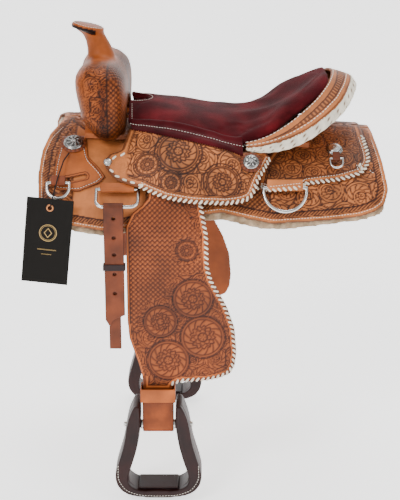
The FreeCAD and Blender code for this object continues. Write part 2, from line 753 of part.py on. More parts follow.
stirrupLoop = curvedLoop(legToLeg(stirrupOuterHalf, 1), legToLeg(stirrupInnerHalf, -1))
frameBody = padBody("stirrupBody", "XZ_Plane", stirrupLoop, "Sizes.stirrupDepth",
                    size("stirrupY") - size("stirrupDepth") / 2)
boltHole = bar("boltHole", (stirrupX - 90, stirrupY, boltZ), (stirrupX + 90, stirrupY, boltZ), size("boltRadius") + 0.1)
bothSides(combine("Cut", "stirrupFrame", frameBody, boltHole), "stirrup_frame")
treadPad = block("treadPad", (stirrupX - 38, stirrupY - 27, -638.9), (stirrupX + 38, stirrupY + 27, -636.4))
bothSides(treadPad, "stirrup_tread")
roller = bar("roller", (stirrupX - 34, stirrupY, boltZ), (stirrupX + 34, stirrupY, boltZ), size("rollerRadius"))
boltRod = bar("boltRod", (stirrupX - 66, stirrupY, boltZ), (stirrupX + 66, stirrupY, boltZ), size("boltRadius"))
bothSides(fuse("stirrupBolt", [roller, boltRod]), "stirrup_bolt")

# --- latigo, billet and tag -----------------------------------------------------

# where the front rigging dee's foot hangs
deeOut, deeZ, deeLean, deeWidth, deeDrop, deeWire = deePlaces["front_rigging"][1:7]
footReach = deeDrop - deeWire
footY = -deeOut - footReach * math.sin(math.radians(deeLean))
footZ = deeZ - footReach * math.cos(math.radians(deeLean))
hookIn = deeWire + 0.5
hookOut = hookIn + size("latigoThick")


def hookProfile(lowZ, backZ):
    """An upside-down U over the dee's foot with a long outer leaf."""
    out, gap = footY - hookOut, footY - hookIn
    back, backOut = footY + hookIn, footY + hookOut
    return [
        Part.Arc(Vec(out, footZ, 0), Vec(footY, footZ + hookOut, 0), Vec(backOut, footZ, 0)),
        Part.LineSegment(Vec(backOut, footZ, 0), Vec(backOut, backZ, 0)),
        Part.LineSegment(Vec(backOut, backZ, 0), Vec(back, backZ, 0)),
        Part.LineSegment(Vec(back, backZ, 0), Vec(back, footZ, 0)),
        Part.Arc(Vec(back, footZ, 0), Vec(footY, footZ + hookIn, 0), Vec(gap, footZ, 0)),
        Part.LineSegment(Vec(gap, footZ, 0), Vec(gap, lowZ, 0)),
        Part.LineSegment(Vec(gap, lowZ, 0), Vec(out, lowZ, 0)),
        Part.LineSegment(Vec(out, lowZ, 0), Vec(out, footZ, 0)),
    ]


def punched(name, strap, x, heights):
    """Cuts the row of buckle holes."""
    pins = [bar(name + "Pin", (x, footY - 30, z), (x, footY + 30, z), size("buckleHoleRadius")) for z in heights]
    return combine("Cut", name, strap, fuse(name + "Pins", pins))


latigoX = -155.0
latigoBody = padBody("latigoBody", "YZ_Plane", hookProfile(-312.0, -118.0), "Sizes.latigoWidth", latigoX, True)
latigoHoles = [-104, -140, -172, -209, -246]
latigoEnd = padBody("latigoEnd", "XZ_Plane",
                    polygon([(-180, -286), (-166, -310), (-157, -297), (-136, -288), (-136, -330), (-180, -330)]),
                    "Sizes.sideReach", 0.0)
latigo = combine("Cut", "latigoCut", punched("latigoPunched", latigoBody, latigoX, latigoHoles), latigoEnd)
keep(latigo, "latigo")
tailY = footY - 1.8
keep(block("latigoTail", (-167, tailY, -357), (-145, tailY + 3.6, -124)), "latigo_tail")
keeperOut = block("keeperOut", (latigoX - 20.5, footY - hookOut - 2.2, -202), (latigoX + 20.0, tailY + 6.2, -190))
keeperRoom = block("keeperRoom", (latigoX - 18.4, footY - hookOut - 0.2, -210), (latigoX + 18.4, tailY + 4.0, -180))
keep(combine("Cut", "latigoKeeper", keeperOut, keeperRoom), "latigo_keeper")

billetBody = padBody("billetBody", "YZ_Plane", hookProfile(-330.0, -118.0), "Sizes.billetWidth", latigoX, True)
billetHoles = [-170, -200, -230, -260, -290]
billet = punched("billetPunched", billetBody, latigoX, billetHoles)
keep(mirrored(billet, "billetOff"), "off_billet")

tagTop = Vec(-267.5, -222.0, -72.0)
tagLean = -6.3
tagWidth = size("tagWidth")
tagHeight = size("tagHeight")
tagPlate = doc.addObject("Part::Box", "tagPlate")
tagPlate.setExpression("Length", "Sizes.tagWidth")
tagPlate.setExpression("Width", "Sizes.tagThick")
tagPlate.setExpression("Height", "Sizes.tagHeight")
tagFrame = turned(Vec(0, 1, 0), -tagLean, tagTop)
tagPlate.Placement = tagFrame.multiply(FreeCAD.Placement(Vec(-tagWidth / 2, 0, -tagHeight), FreeCAD.Rotation()))
eyeMiddle = tagFrame.multVec(Vec(0, size("tagThick") / 2, -17))
eyeRadius = 7.0
eyeHole = bar("eyeHole", tuple(eyeMiddle + Vec(0, -5, 0)), tuple(eyeMiddle + Vec(0, 5, 0)), eyeRadius)
keep(combine("Cut", "hangTag", tagPlate, eyeHole), "hang_tag")
eyelet = doc.addObject("Part::Torus", "eyelet")
eyelet.Radius1 = eyeRadius - 1.7
eyelet.Radius2 = 1.6
eyelet.Placement = turned(Vec(1, 0, 0), 90, eyeMiddle)
keep(eyelet, "tag_eyelet")

# the tag's cord, from under the front concho to the eyelet
cordRoute = [(-240, -143, -6.5), (-248, -167, -15), (-256, -197, -39), (-263, -216, -66), (-268.2, -224.4, -87)]
cordRadius = size("cordDiameter") / 2


def roundedPath(points):
    """Straight runs joined by tangent arcs, as large as the shorter run allows."""
    points = [Vec(*p) for p in points]
    edges = []
    start = points[0]
    for before, corner, after in zip(points, points[1:], points[2:]):
        back, ahead = (before - corner), (after - corner)
        shorter = min(back.Length, ahead.Length)
        turn = math.pi - back.getAngle(ahead)
        reach = 0.45 * shorter
        radius = reach / math.tan(turn / 2)
        print("cord arc radius", round(radius, 1))
        back.normalize()
        ahead.normalize()
        entry = corner + back * reach
        leave = corner + ahead * reach
        inward = back + ahead
        inward.normalize()
        centre = corner + inward * (radius / math.cos(turn / 2))
        crown = centre - inward * radius
        edges.append(Part.LineSegment(start, entry).toShape())
        edges.append(Part.Arc(entry, crown, leave).toShape())
        start = leave
    edges.append(Part.LineSegment(start, points[-1]).toShape())
    return Part.Wire(edges)


cordPath = roundedPath(cordRoute)
cordStart = Vec(*cordRoute[0])
cordHeading = Vec(*cordRoute[1]) - cordStart
cordSection = Part.Wire(Part.makeCircle(cordRadius, cordStart, cordHeading))
cord = doc.addObject("Part::Feature", "tagCord")
cord.Shape = cordPath.makePipeShell([cordSection], True, False)
keep(cord, "tag_cord")
print("cord length", round(cordPath.Length, 1), "volume ratio",
      round(cord.Shape.Volume / (math.pi * cordRadius ** 2 * cordPath.Length), 4))

# --- write -------------------------------------------------------------------

doc.recompute()
for item in doc.Objects:
    if "Invalid" in item.State or "Error" in item.State:
        raise RuntimeError("%s failed: %s" % (item.Name, item.State))
for node in nodes:
    if node.Shape.isNull() or not node.Shape.isValid() or node.Shape.Volume < 1:
        raise RuntimeError("%s has no sound shape" % node.Label)
os.makedirs("parts", exist_ok=True)
for node in nodes:
    node.Shape.exportStep("parts/%s.step" % node.Label)
print(len(nodes), "nodes written")
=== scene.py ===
import json
import math
import bpy
import bmesh
import numpy as np
from mathutils import Matrix, Vector, noise
from mathutils.bvhtree import BVHTree
from mathutils.kdtree import KDTree


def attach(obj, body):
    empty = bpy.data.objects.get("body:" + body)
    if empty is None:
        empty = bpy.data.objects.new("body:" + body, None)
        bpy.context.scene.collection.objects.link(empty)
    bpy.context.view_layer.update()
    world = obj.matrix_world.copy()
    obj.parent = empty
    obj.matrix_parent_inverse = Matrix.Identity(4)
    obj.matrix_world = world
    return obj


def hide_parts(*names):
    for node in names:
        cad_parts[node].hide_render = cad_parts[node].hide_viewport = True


# Western saddle: leather, suede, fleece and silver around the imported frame.
# Metres; -X is the horn's side, -Y the near side, +Z up.

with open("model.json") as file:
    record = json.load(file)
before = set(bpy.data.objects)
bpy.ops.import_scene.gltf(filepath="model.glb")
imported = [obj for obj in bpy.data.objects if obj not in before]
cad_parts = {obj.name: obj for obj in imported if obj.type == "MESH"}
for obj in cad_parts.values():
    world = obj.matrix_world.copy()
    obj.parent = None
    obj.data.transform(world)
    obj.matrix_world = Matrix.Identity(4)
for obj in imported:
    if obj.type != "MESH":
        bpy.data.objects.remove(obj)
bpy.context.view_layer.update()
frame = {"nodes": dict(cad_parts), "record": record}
bodyOf = {node: body for body, nodes in frame["record"]["behaviour"]["bodies"].items() for node in nodes}
print("frame loaded:", len(frame["nodes"]), "nodes")

mm = 0.001
barrel = {"axisHeight": -201.0, "tilt": math.tan(math.radians(2.5)), "skin": 228.0}


# 0 below low, 1 above high, smooth between.
def fade(low, high, value):
    share = np.clip((value - low) / (high - low), 0, 1)
    return share * share * (3 - 2 * share)


# 8-bit screen colour to linear.
def linear(rgb):
    return tuple((c / 255 / 12.92 if c < 11 else ((c / 255 + 0.055) / 1.055) ** 2.4) for c in rgb) + (1.0,)


# shader helpers
def newNode(tree, kind, **values):
    node = tree.nodes.new(kind)
    for key, value in values.items():
        if key in node.inputs:
            node.inputs[key].default_value = value
        else:
            setattr(node, key, value)
    return node


# Pores and slow colour drift shared by every leather, suede and fleece.
def makeGrainGroup():
    group = bpy.data.node_groups.new("hideGrain", "ShaderNodeTree")
    for name, value in (("Pore Scale", 900.0), ("Drift Scale", 14.0)):
        socket = group.interface.new_socket(name, in_out="INPUT", socket_type="NodeSocketFloat")
        socket.default_value = value
    group.interface.new_socket("Height", in_out="OUTPUT", socket_type="NodeSocketFloat")
    group.interface.new_socket("Tone", in_out="OUTPUT", socket_type="NodeSocketFloat")
    entry = group.nodes.new("NodeGroupInput")
    leave = group.nodes.new("NodeGroupOutput")
    place = group.nodes.new("ShaderNodeTexCoord")
    pores = newNode(group, "ShaderNodeTexVoronoi", feature="SMOOTH_F1")
    drift = newNode(group, "ShaderNodeTexNoise", Detail=5.0, Roughness=0.6)
    fine = newNode(group, "ShaderNodeTexNoise", Detail=3.0, Roughness=0.7)
    mix = newNode(group, "ShaderNodeMath", operation="MULTIPLY_ADD")
    mix.inputs[1].default_value = 0.45
    link = group.links.new
    for texture in (pores, drift, fine):
        link(place.outputs["Object"], texture.inputs["Vector"])
    link(entry.outputs["Pore Scale"], pores.inputs["Scale"])
    link(entry.outputs["Pore Scale"], fine.inputs["Scale"])
    link(entry.outputs["Drift Scale"], drift.inputs["Scale"])
    link(fine.outputs["Fac"], mix.inputs[0])
    link(pores.outputs["Distance"], mix.inputs[2])
    link(mix.outputs[0], leave.inputs["Height"])
    link(drift.outputs["Fac"], leave.inputs["Tone"])
    return group


grainGroup = makeGrainGroup()


def colourRamp(tree, stops):
    ramp = tree.nodes.new("ShaderNodeValToRGB")
    marks = ramp.color_ramp.elements
    while len(marks) < len(stops):
        marks.new(0.5)
    for mark, (place, colour) in zip(marks, stops):
        mark.position = place
        mark.color = linear(colour)
    return ramp


def multiplied(tree, first, second, amount=1.0):
    mix = newNode(tree, "ShaderNodeMix", data_type="RGBA", blend_type="MULTIPLY")
    mix.inputs["Factor"].default_value = amount
    tree.links.new(first, mix.inputs["A"])
    tree.links.new(second, mix.inputs["B"])
    return mix.outputs["Result"]


# A leather-like finish: colour goes from raised to carved with the carve attribute.
def hide(name, raised, carved, pore=900.0, drift=14.0, bump=0.25, rough=(0.42, 0.66), coat=0.05, sheen=0.0,
         edgeDark=(70, 38, 22), driftDepth=0.35, specular=0.25):
    material = bpy.data.materials.new(name)
    material.use_nodes = True
    tree = material.node_tree
    link = tree.links.new
    shader = tree.nodes["Principled BSDF"]
    grain = newNode(tree, "ShaderNodeGroup", node_tree=grainGroup)
    grain.inputs["Pore Scale"].default_value = pore
    grain.inputs["Drift Scale"].default_value = drift
    carve = newNode(tree, "ShaderNodeAttribute", attribute_name="carve")
    edge = newNode(tree, "ShaderNodeAttribute", attribute_name="edge")
    middle = tuple((a * 0.5 + b * 0.5) for a, b in zip(raised, carved))
    ramp = colourRamp(tree, [(0.0, raised), (0.45, middle), (1.0, carved)])
    link(carve.outputs["Fac"], ramp.inputs["Fac"])
    low = 255 * (1 - driftDepth)
    tone = colourRamp(tree, [(0.3, (low, low, low)), (0.7, (255, 255, 255))])
    link(grain.outputs["Tone"], tone.inputs["Fac"])
    rim = colourRamp(tree, [(0.0, (255, 255, 255)), (1.0, edgeDark)])
    link(edge.outputs["Fac"], rim.inputs["Fac"])
    colour = multiplied(tree, ramp.outputs["Color"], tone.outputs["Color"])
    colour = multiplied(tree, colour, rim.outputs["Color"], 0.75)
    link(colour, shader.inputs["Base Color"])
    gloss = newNode(tree, "ShaderNodeMapRange")
    gloss.inputs["To Min"].default_value = rough[0]
    gloss.inputs["To Max"].default_value = rough[1]
    link(grain.outputs["Tone"], gloss.inputs["Value"])
    link(gloss.outputs["Result"], shader.inputs["Roughness"])
    height = newNode(tree, "ShaderNodeBump", Strength=bump, Distance=0.0006)
    link(grain.outputs["Height"], height.inputs["Height"])
    link(height.outputs["Normal"], shader.inputs["Normal"])
    shader.inputs["Coat Weight"].default_value = coat * 0.6
    shader.inputs["Coat Roughness"].default_value = 0.35
    shader.inputs["Specular IOR Level"].default_value = specular
    shader.inputs["Sheen Weight"].default_value = sheen
    shader.inputs["Sheen Roughness"].default_value = 0.5
    return material


# Polished or engraved metal; the carve attribute darkens the engraving.
def metal(name, colour, carved, rough, scratch=0.08):
    material = hide(name, colour, carved, pore=500.0, drift=30.0, bump=scratch, rough=rough, coat=0.0,
                    edgeDark=(150, 150, 150), driftDepth=0.12, specular=0.5)
    material.node_tree.nodes["Principled BSDF"].inputs["Metallic"].default_value = 1.0
    return material


finish = {
    "tan": hide("tanLeather", (214, 126, 68), (50, 18, 6), drift=11.0, driftDepth=0.42),
    "fender": hide("fenderLeather", (216, 112, 50), (56, 19, 5), drift=9.0, driftDepth=0.42),
    "plainTan": hide("plainTanLeather", (190, 100, 46), (76, 32, 12), drift=10.0, rough=(0.36, 0.58),
                     driftDepth=0.42),
    "swell": hide("swellLeather", (176, 90, 38), (48, 18, 6), drift=9.0, coat=0.0, rough=(0.38, 0.55),
                  specular=0.16, driftDepth=0.6, edgeDark=(84, 40, 18)),
    "strap": hide("strapLeather", (134, 64, 32), (56, 24, 12), drift=16.0, rough=(0.4, 0.62)),
    "loop": hide("loopLeather", (178, 84, 32), (84, 36, 14), drift=20.0),
    "suede": hide("burgundySuede", (108, 26, 32), (54, 12, 18), pore=1400.0, drift=20.0, bump=0.5,
                  rough=(0.94, 1.0), coat=0.0, sheen=0.06, driftDepth=0.4, edgeDark=(120, 90, 90),
                  specular=0.04),
    "stirrup": hide("stirrupLeather", (52, 19, 17), (20, 8, 8), pore=800.0, drift=18.0, coat=0.02,
                    rough=(0.36, 0.55), edgeDark=(120, 90, 90)),
    "black": hide("blackLeather", (40, 20, 20), (14, 10, 10), coat=0.1, edgeDark=(160, 160, 160)),
    "cream": hide("creamLace", (240, 229, 208), (96, 62, 40), pore=1200.0, drift=60.0, bump=0.3,
                  rough=(0.5, 0.7), coat=0.0, driftDepth=0.18, edgeDark=(230, 220, 200)),
    "thread": hide("whiteThread", (246, 240, 226), (190, 175, 150), pore=2600.0, drift=80.0, bump=0.6,
                   rough=(0.6, 0.8), coat=0.0, driftDepth=0.1),
    "fleece": hide("fleece", (232, 208, 176), (168, 138, 106), pore=420.0, drift=70.0, bump=1.0,
                   rough=(0.9, 1.0), coat=0.0, sheen=0.4, driftDepth=0.35, edgeDark=(235, 225, 210)),
    "silver": metal("engravedSilver", (232, 230, 226), (90, 88, 86), (0.16, 0.34)),
    "nickel": metal("nickelRing", (214, 212, 208), (120, 118, 114), (0.14, 0.26)),
    "copper": metal("copperEyelet", (206, 138, 92), (110, 66, 40), (0.25, 0.4)),
    "gold": metal("goldFoil", (186, 156, 104), (120, 96, 60), (0.35, 0.5)),
    "card": hide("blackCard", (20, 17, 14), (11, 10, 9), pore=2000.0, drift=24.0, bump=0.12, specular=0.12,
                 rough=(0.55, 0.7), coat=0.0, driftDepth=0.14, edgeDark=(170, 170, 170)),
    "cord": hide("waxedCord", (30, 27, 26), (12, 11, 11), pore=2400.0, drift=90.0, bump=0.7,
                 rough=(0.6, 0.75), coat=0.0),
    "wood": hide("treeWood", (168, 128, 88), (110, 78, 50), pore=300.0, drift=22.0, coat=0.0),
    "felt": hide("greyFelt", (120, 108, 98), (80, 70, 62), pore=1500.0, drift=30.0, coat=0.0,
                 rough=(0.85, 0.95)),
}
print("finishes ready:", len(finish))


# mesh helpers
def linked(name, mesh):
    obj = bpy.data.objects.new(name, mesh)
    bpy.context.scene.collection.objects.link(obj)
    return obj


# Applies the modifiers and leaves a plain mesh.
def baked(obj):
    view = bpy.context.evaluated_depsgraph_get()
    mesh = bpy.data.meshes.new_from_object(obj.evaluated_get(view))
    obj.modifiers.clear()
    obj.data = mesh
    return obj


def points(obj):
    flat = np.empty(len(obj.data.vertices) * 3)
    obj.data.vertices.foreach_get("co", flat)
    return flat.reshape(-1, 3)


def normals(obj):
    flat = np.empty(len(obj.data.vertices) * 3)
    obj.data.vertices.foreach_get("normal", flat)
    return flat.reshape(-1, 3)


def putPoints(obj, where):
    obj.data.vertices.foreach_set("co", np.ascontiguousarray(where, float).ravel())
    obj.data.update()


def attribute(obj, name, values):
    held = obj.data.attributes.get(name) or obj.data.attributes.new(name, "FLOAT", "POINT")
    held.data.foreach_set("value", np.asarray(values, np.float32))


def smoothShaded(obj):
    obj.data.polygons.foreach_set("use_smooth", [True] * len(obj.data.polygons))


# One skin remeshed from one or more solids, with soft edges.
def joinedCopy(nodes, name, voxel, rounds, extra=None):
    whole = bmesh.new()
    for node in nodes:
        whole.from_mesh(frame["nodes"][node].data)
    if extra:
        whole.from_mesh(extra)
    bmesh.ops.remove_doubles(whole, verts=whole.verts, dist=1e-5)
    mesh = bpy.data.meshes.new(name)
    whole.to_mesh(mesh)
    whole.free()
    obj = linked(name, mesh)
    remesh = obj.modifiers.new("remesh", "REMESH")
    remesh.mode = "VOXEL"
    remesh.voxel_size = voxel * mm
    ease = obj.modifiers.new("ease", "SMOOTH")
    ease.factor = 0.5
    ease.iterations = rounds
    baked(obj)
    smoothShaded(obj)
    return obj


def softCopy(node, name, voxel, rounds=3):
    return joinedCopy((node,), name, voxel, rounds)


def dress(obj, look, body, *nodes):
    obj.data.materials.clear()
    obj.data.materials.append(finish[look])
    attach(obj, body)
    if nodes:
        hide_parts(*nodes)
    return obj


# Unit vectors that point away from the horse, and how far round the barrel each point is, in mm.
def barrelDirection(where):
    height = where[:, 2] / mm - (barrel["axisHeight"] - barrel["tilt"] * where[:, 0] / mm)
    out = np.stack([np.zeros(len(where)), where[:, 1] / mm, height], axis=1)
    out /= np.linalg.norm(out, axis=1)[:, None]
    around = np.arctan2(np.abs(where[:, 1]) / mm, height) * barrel["skin"]
    return out, around


# Distance in mm from each point to the sheet's nearest edge.
def edgeDistance(where, facing):
    rim = np.nonzero(np.abs(facing) < 0.55)[0]
    tree = KDTree(len(rim))
    for n, index in enumerate(rim):
        tree.insert(where[index], n)
    tree.balance()
    out = np.zeros(len(where))
    for n in np.nonzero(facing > 0.3)[0]:
        out[n] = tree.find(where[n])[2] / mm
    return out


# tooling patterns, 0 carved to 1 raised
def scattered(i, j, seed):
    return np.mod(np.sin(i * 127.1 + j * 311.7 + seed * 74.7) * 43758.5453, 1.0)


# Nearest flower centre: distance, angle, its own random number and the gap to the next one.
def cells(s, t, cell, seed, jitter=0.45):
    i = np.floor(s / cell)
    j = np.floor(t / cell)
    best = np.full(s.shape, 1e9)
    second = np.full(s.shape, 1e9)
    angle = np.zeros(s.shape)
    spin = np.zeros(s.shape)
    for di in (-1, 0, 1):
        for dj in (-1, 0, 1):
            ci, cj = i + di, j + dj
            shift = 0.5 * np.mod(cj, 2)
            cs = (ci + 0.5 + shift - 0.25 + jitter * (scattered(ci, cj, seed) - 0.5)) * cell
            ct = (cj + 0.5 + jitter * (scattered(ci, cj, seed + 3) - 0.5)) * cell
            ds, dt = s - cs, t - ct
            far = np.hypot(ds, dt)
            nearer = far < best
            second = np.where(nearer, best, np.minimum(second, far))
            angle = np.where(nearer, np.arctan2(dt, ds), angle)
            spin = np.where(nearer, scattered(ci, cj, seed + 7), spin)
            best = np.where(nearer, far, best)
    return best, angle, spin, second - best


# 1 on whole numbers of phase, 0 away from them.
def nearLine(phase, width):
    away = np.abs(np.mod(phase + 0.5, 1.0) - 0.5)
    return 1 - fade(0.0, width, away)


# Curling stems, leaf veins and small flowers, drawn with fine cut lines.
def scrolls(s, t, cell=30.0, seed=1):
    far, angle, spin, gap = cells(s, t, cell, seed)
    reach = far / cell
    turn = np.where(spin > 0.5, 1.0, -1.0)
    around = angle * turn / (2 * math.pi)
    arm = np.mod(around + 2.7 * reach + spin, 1.0)
    stem = np.maximum(line(arm, 0.06, 0.05), line(arm, 0.36, 0.05))
    leaves = nearLine(9 * around - 4.5 * reach, 0.24) * fade(0.36, 0.46, arm)
    leaves = leaves * (1 - fade(0.92, 1.0, arm)) * 0.85
    flower = reach < 0.15
    petals = np.maximum(nearLine(5 * around, 0.14), line(reach, 0.05, 0.018)) * flower
    rim = line(reach, 0.155, 0.022)
    cut = np.maximum.reduce([stem * (reach > 0.15), leaves * (reach > 0.17), petals, rim])
    return 1 - np.clip(np.maximum(cut, (1 - fade(0.4, 2.2, gap)) * 0.95), 0, 1)


# A big flower head in a double ring; also how far inside the ring each point is.
def roundel(ds, dt, radius):
    reach = np.hypot(ds, dt) / radius
    angle = np.arctan2(dt, ds) / (2 * math.pi)
    thin = 1.3 / radius
    rings = np.maximum(line(reach, 0.99, thin), line(reach, 0.87, thin) * 0.9)
    outer = nearLine(13 * angle + 2.4 * reach, 0.2) * (reach > 0.52) * (reach < 0.87) * 0.85
    curl = line(reach, 0.52 + 0.05 * np.cos(26 * math.pi * angle), thin * 1.1)
    petals = nearLine(8 * angle - 1.6 * reach, 0.16) * (reach < 0.5) * (reach > 0.22) * 0.9
    inner = line(reach, 0.36 + 0.04 * np.cos(16 * math.pi * angle), thin) * 0.8
    heart = np.maximum(line(reach, 0.21, thin), nearLine(5 * angle, 0.2) * (reach < 0.2) * 0.8)
    return 1 - np.clip(np.maximum.reduce([rings, outer, curl, petals, inner, heart]), 0, 1), reach


# Stamped basket weave on the slant.
def basket(s, t, cell=6.4):
    u, v = (s + t) / (cell * 1.414), (s - t) / (cell * 1.414)
    odd = np.mod(np.floor(u) + np.floor(v), 2) > 0.5
    fu, fv = np.mod(u, 1) - 0.5, np.mod(v, 1) - 0.5
    along, over = np.where(odd, fu, fv), np.where(odd, fv, fu)
    pillow = np.sqrt(np.clip(1 - (2 * along) ** 2 * 0.75, 0, 1))
    sides = fade(0.0, 0.16, 0.5 - np.abs(over))
    ridge = 0.85 + 0.15 * np.cos(over * 4 * math.pi)
    return np.clip(1 - 1.35 * (1 - pillow * sides * ridge), 0, 1)


def line(value, at, width):
    return np.exp(-((value - at) / width) ** 2)


def rope(along, pitch=5.0):
    return 0.5 + 0.5 * np.cos(2 * math.pi * along / pitch)


# Raises the mesh along its normals where cover is 1 and records colour attributes.
def tool(obj, raised, cover, depth=0.9, edge=None):
    where = points(obj)
    putPoints(obj, where + normals(obj) * ((raised - 0.4) * cover * depth * mm)[:, None])
    attribute(obj, "carve", np.clip(1 - raised, 0, 1) * cover)
    if edge is not None:
        attribute(obj, "edge", 1 - fade(0.5, 3.5, edge))


# lacing and stitches along a line
# Copies of one small piece along a line, turned with it; ends in plain geometry.
def makeTrailTree():
    tree = bpy.data.node_groups.new("piecesAlongLine", "GeometryNodeTree")
    tree.interface.new_socket("Geometry", in_out="INPUT", socket_type="NodeSocketGeometry")
    for name, kind in (("Piece", "NodeSocketObject"), ("Pitch", "NodeSocketFloat"), ("Tilt", "NodeSocketFloat"),
                       ("Wobble", "NodeSocketFloat"), ("Seed", "NodeSocketInt"),
                       ("Finish", "NodeSocketMaterial")):
        tree.interface.new_socket(name, in_out="INPUT", socket_type=kind)
    tree.interface.new_socket("Geometry", in_out="OUTPUT", socket_type="NodeSocketGeometry")
    entry, leave = tree.nodes.new("NodeGroupInput"), tree.nodes.new("NodeGroupOutput")
    curve = tree.nodes.new("GeometryNodeMeshToCurve")
    spread = newNode(tree, "GeometryNodeResampleCurve", mode="LENGTH")
    tangent = tree.nodes.new("GeometryNodeInputTangent")
    upward = newNode(tree, "GeometryNodeInputNamedAttribute", data_type="FLOAT_VECTOR")
    upward.inputs["Name"].default_value = "up"
    axes = newNode(tree, "FunctionNodeAxesToRotation", primary_axis="Z", secondary_axis="X")
    spinValue = newNode(tree, "FunctionNodeRandomValue", data_type="FLOAT")
    low = newNode(tree, "ShaderNodeMath", operation="SUBTRACT")
    high = newNode(tree, "ShaderNodeMath", operation="ADD")
    turn = tree.nodes.new("ShaderNodeCombineXYZ")
    local = newNode(tree, "FunctionNodeRotateRotation", rotation_space="LOCAL")
    info = tree.nodes.new("GeometryNodeObjectInfo")
    copies = tree.nodes.new("GeometryNodeInstanceOnPoints")
    real = tree.nodes.new("GeometryNodeRealizeInstances")
    paint = tree.nodes.new("GeometryNodeSetMaterial")
    link = tree.links.new
    link(entry.outputs["Geometry"], curve.inputs["Mesh"])
    link(curve.outputs["Curve"], spread.inputs["Curve"])
    link(entry.outputs["Pitch"], spread.inputs["Length"])
    link(spread.outputs["Curve"], copies.inputs["Points"])
    link(upward.outputs[0], axes.inputs["Primary Axis"])
    link(tangent.outputs["Tangent"], axes.inputs["Secondary Axis"])
    for limit in (low, high):
        link(entry.outputs["Tilt"], limit.inputs[0])
        link(entry.outputs["Wobble"], limit.inputs[1])
    numbers = [s for s in spinValue.inputs if s.type == "VALUE"]
    link(low.outputs[0], numbers[0])
    link(high.outputs[0], numbers[1])
    link(entry.outputs["Seed"], spinValue.inputs["Seed"])
    value = next(s for s in spinValue.outputs if s.type == "VALUE")
    link(value, turn.inputs["Z"])
    link(axes.outputs["Rotation"], local.inputs["Rotation"])
    link(turn.outputs["Vector"], local.inputs["Rotate By"])
    link(local.outputs["Rotation"], copies.inputs["Rotation"])
    link(entry.outputs["Piece"], info.inputs["Object"])
    link(info.outputs["Geometry"], copies.inputs["Instance"])
    link(copies.outputs["Instances"], real.inputs["Geometry"])
    link(real.outputs["Geometry"], paint.inputs["Geometry"])
    link(entry.outputs["Finish"], paint.inputs["Material"])
    link(paint.outputs["Geometry"], leave.inputs["Geometry"])
    return tree


trailTree = makeTrailTree()
socketOf = {item.name: item.identifier for item in trailTree.interface.items_tree if item.in_out == "INPUT"}


# A small closed lozenge; lower power makes it boxier.
def roundedPiece(name, length, width, height, sides=8, rings=5, power=1.0):
    mesh = bpy.data.meshes.new(name)
    work = bmesh.new()
    bmesh.ops.create_uvsphere(work, u_segments=sides, v_segments=rings, radius=1.0,
                              matrix=Matrix.Rotation(math.pi / 2, 4, "Y"))
    for vert in work.verts:
        for axis in range(3):
            bent = abs(vert.co[axis]) ** power
            vert.co[axis] = math.copysign(bent, vert.co[axis])
        vert.co = Vector((vert.co.x * length, vert.co.y * width, vert.co.z * height)) * (mm / 2)
    work.to_mesh(mesh)
    work.free()
    obj = linked(name, mesh)
    smoothShaded(obj)
    return obj


pieceKinds = {
    "lace": roundedPiece("laceLoop", 10.0, 4.3, 3.0, 8, 6, 0.7),
    "stitch": roundedPiece("threadStitch", 3.9, 1.1, 0.9, 6, 4),
    "longStitch": roundedPiece("longThreadStitch", 6.0, 1.8, 1.4, 6, 4),
}
for piece in pieceKinds.values():
    piece.hide_render = True


# Lays pieces along one or more lines of points, each with its own upward vectors.
def trail(name, lines, ups, kind, pitch, tilt, look, body, wobble=0.0, seed=3):
    mesh = bpy.data.meshes.new(name)
    spots, edges, upAll = [], [], []
    for run, up in zip(lines, ups):
        first = len(spots)
        spots += [tuple(p) for p in run]
        upAll += [tuple(u) for u in up]
        edges += [(n, n + 1) for n in range(first, len(spots) - 1)]
    mesh.from_pydata(spots, edges, [])
    held = mesh.attributes.new("up", "FLOAT_VECTOR", "POINT")
    held.data.foreach_set("vector", np.array(upAll, np.float32).ravel())
    obj = linked(name, mesh)
    layer = obj.modifiers.new("trail", "NODES")
    layer.node_group = trailTree
    for word, value in (("Piece", pieceKinds[kind]), ("Pitch", pitch * mm), ("Tilt", math.radians(tilt)),
                        ("Wobble", math.radians(wobble)), ("Seed", seed), ("Finish", finish[look])):
        layer[socketOf[word]] = value
    baked(obj)
    smoothShaded(obj)
    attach(obj, body)
    return obj


# Points every step mm along a line of 2-D or 3-D points.
def resampled(outline, step):
    out = []
    for a, b in zip(outline, outline[1:]):
        a, b = np.array(a, float), np.array(b, float)
        count = max(1, int(np.linalg.norm(b - a) / step))
        out += [a + (b - a) * k / count for k in range(count)]
    out.append(np.array(outline[-1], float))
    return np.array(out)


def eased(run, rounds=3):
    run = np.array(run, float)
    for _ in range(rounds):
        run[1:-1] = (run[:-2] + run[1:-1] * 2 + run[2:]) / 4
    return run


# The line moved amount mm to its left, eased at its corners.
def inset(outline, amount, step=3.0):
    run = eased(resampled(outline, step), 4)
    along = np.gradient(run, axis=0)
    along /= np.linalg.norm(along, axis=1)[:, None] + 1e-9
    return run + np.stack([-along[:, 1], along[:, 0]], axis=1) * amount


def surfaceOf(*objects):
    spots, faces = [], []
    for obj in objects:
        first = len(spots)
        spots += [tuple(v.co) for v in obj.data.vertices]
        faces += [tuple(first + i for i in p.vertices) for p in obj.data.polygons]
    return BVHTree.FromPolygons(spots, faces)


